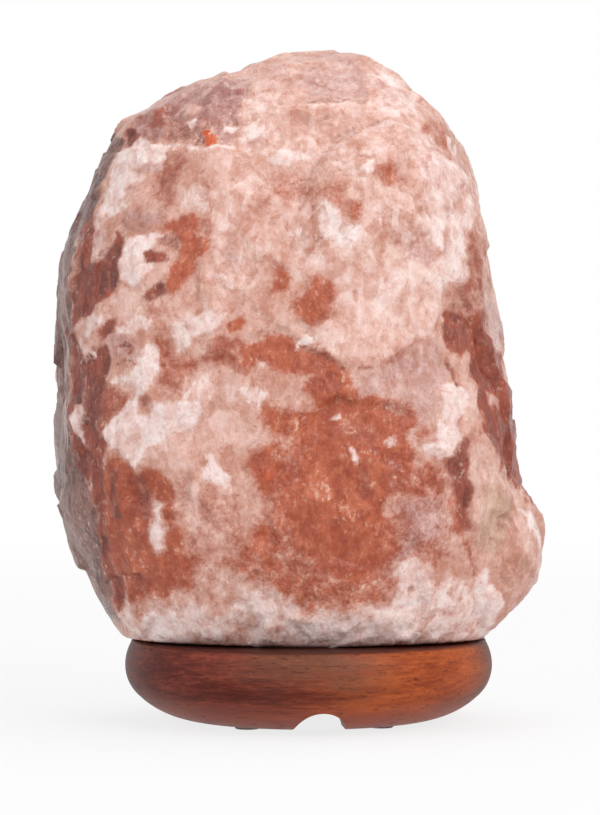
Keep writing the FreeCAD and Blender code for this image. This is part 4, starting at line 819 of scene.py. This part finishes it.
def makeFloor():
    clearSelection()
    bpy.ops.mesh.primitive_plane_add(size=studio["floorSize"], location=(0, 0, 0))
    floor = bpy.context.object
    floor.name = "floor"
    p = Paint("floor_white")
    spots = p.places()
    away = p.add("VectorMath", {"operation": "LENGTH"}, {0: spots}, "Value")
    clear = away.step(studio["near"], studio["far"], 0.8, 1.0)
    seen = p.add("LightPath", output="Is Camera Ray")
    mirrored = p.add("LightPath", output="Is Glossy Ray")
    through = p.add("LightPath", output="Is Transmission Ray")
    direct = (seen + mirrored + through).most(1.0)
    cloth = p.add("BsdfDiffuse", None, {"Color": (0.86, 0.86, 0.86, 1)})
    light = p.add("Emission", None, {"Color": (1, 1, 1, 1), "Strength": 1.0})
    mixed = p.add("MixShader", None, {0: clear * direct, 1: cloth, 2: light})
    below = p.add("NewGeometry", output="Backfacing")  # seen from below, the floor isn't there
    clearFloor = p.add("BsdfTransparent")
    mixed = p.add("MixShader", None, {0: below, 1: mixed, 2: clearFloor})
    p.add("OutputMaterial", None, {"Surface": mixed})
    dress(floor, p.material)


def makeWorld():
    world = bpy.data.worlds.new("studio")
    world.use_nodes = True
    bpy.context.scene.world = world
    tree = world.node_tree
    tree.nodes.clear()
    path = tree.nodes.new("ShaderNodeLightPath")
    direct = tree.nodes.new("ShaderNodeMath")
    direct.operation = "MAXIMUM"
    tree.links.new(path.outputs["Is Camera Ray"], direct.inputs[0])
    tree.links.new(path.outputs["Is Transmission Ray"], direct.inputs[1])
    either = tree.nodes.new("ShaderNodeMath")
    either.operation = "MAXIMUM"
    tree.links.new(direct.outputs[0], either.inputs[0])
    tree.links.new(path.outputs["Is Glossy Ray"], either.inputs[1])
    level = tree.nodes.new("ShaderNodeMapRange")
    level.inputs["To Min"].default_value = studio["worldLevel"]
    level.inputs["To Max"].default_value = 1.0
    tree.links.new(either.outputs[0], level.inputs["Value"])
    sky = tree.nodes.new("ShaderNodeBackground")
    sky.inputs["Color"].default_value = (1, 1, 1, 1)
    tree.links.new(level.outputs[0], sky.inputs["Strength"])
    out = tree.nodes.new("ShaderNodeOutputWorld")
    tree.links.new(sky.outputs[0], out.inputs["Surface"])


def addSoftbox(name, place, size, power):
    clearSelection()
    bpy.ops.object.light_add(type="AREA", location=place)
    lamp = bpy.context.object
    lamp.name = name
    lamp.data.shape = "SQUARE"
    lamp.data.size = size
    lamp.data.energy = power
    aim = Vector((0, 0, 0.11)) - Vector(place)
    lamp.rotation_euler = aim.to_track_quat("-Z", "Y").to_euler()


def makeCamera():
    clearSelection()
    bpy.ops.object.camera_add(
        location=camera["place"], rotation=(math.radians(90 + camera["pitch"]), 0, 0)
    )
    eye = bpy.context.object
    eye.data.lens = camera["lens"]
    eye.data.sensor_width = camera["sensor"]
    eye.data.clip_start = 0.05
    eye.data.clip_end = 50
    bpy.context.scene.camera = eye


makeFloor()
makeWorld()
addSoftbox("key_softbox", (0.95, -1.25, 1.0), 1.1, studio["keyPower"])
addSoftbox("fill_softbox", (-1.2, -1.1, 0.7), 1.2, studio["fillPower"])
addSoftbox("top_softbox", (0.1, 0.2, 1.5), 1.0, studio["topPower"])
makeCamera()
bpy.context.scene.view_settings.view_transform = "Standard"
print("studio ready")
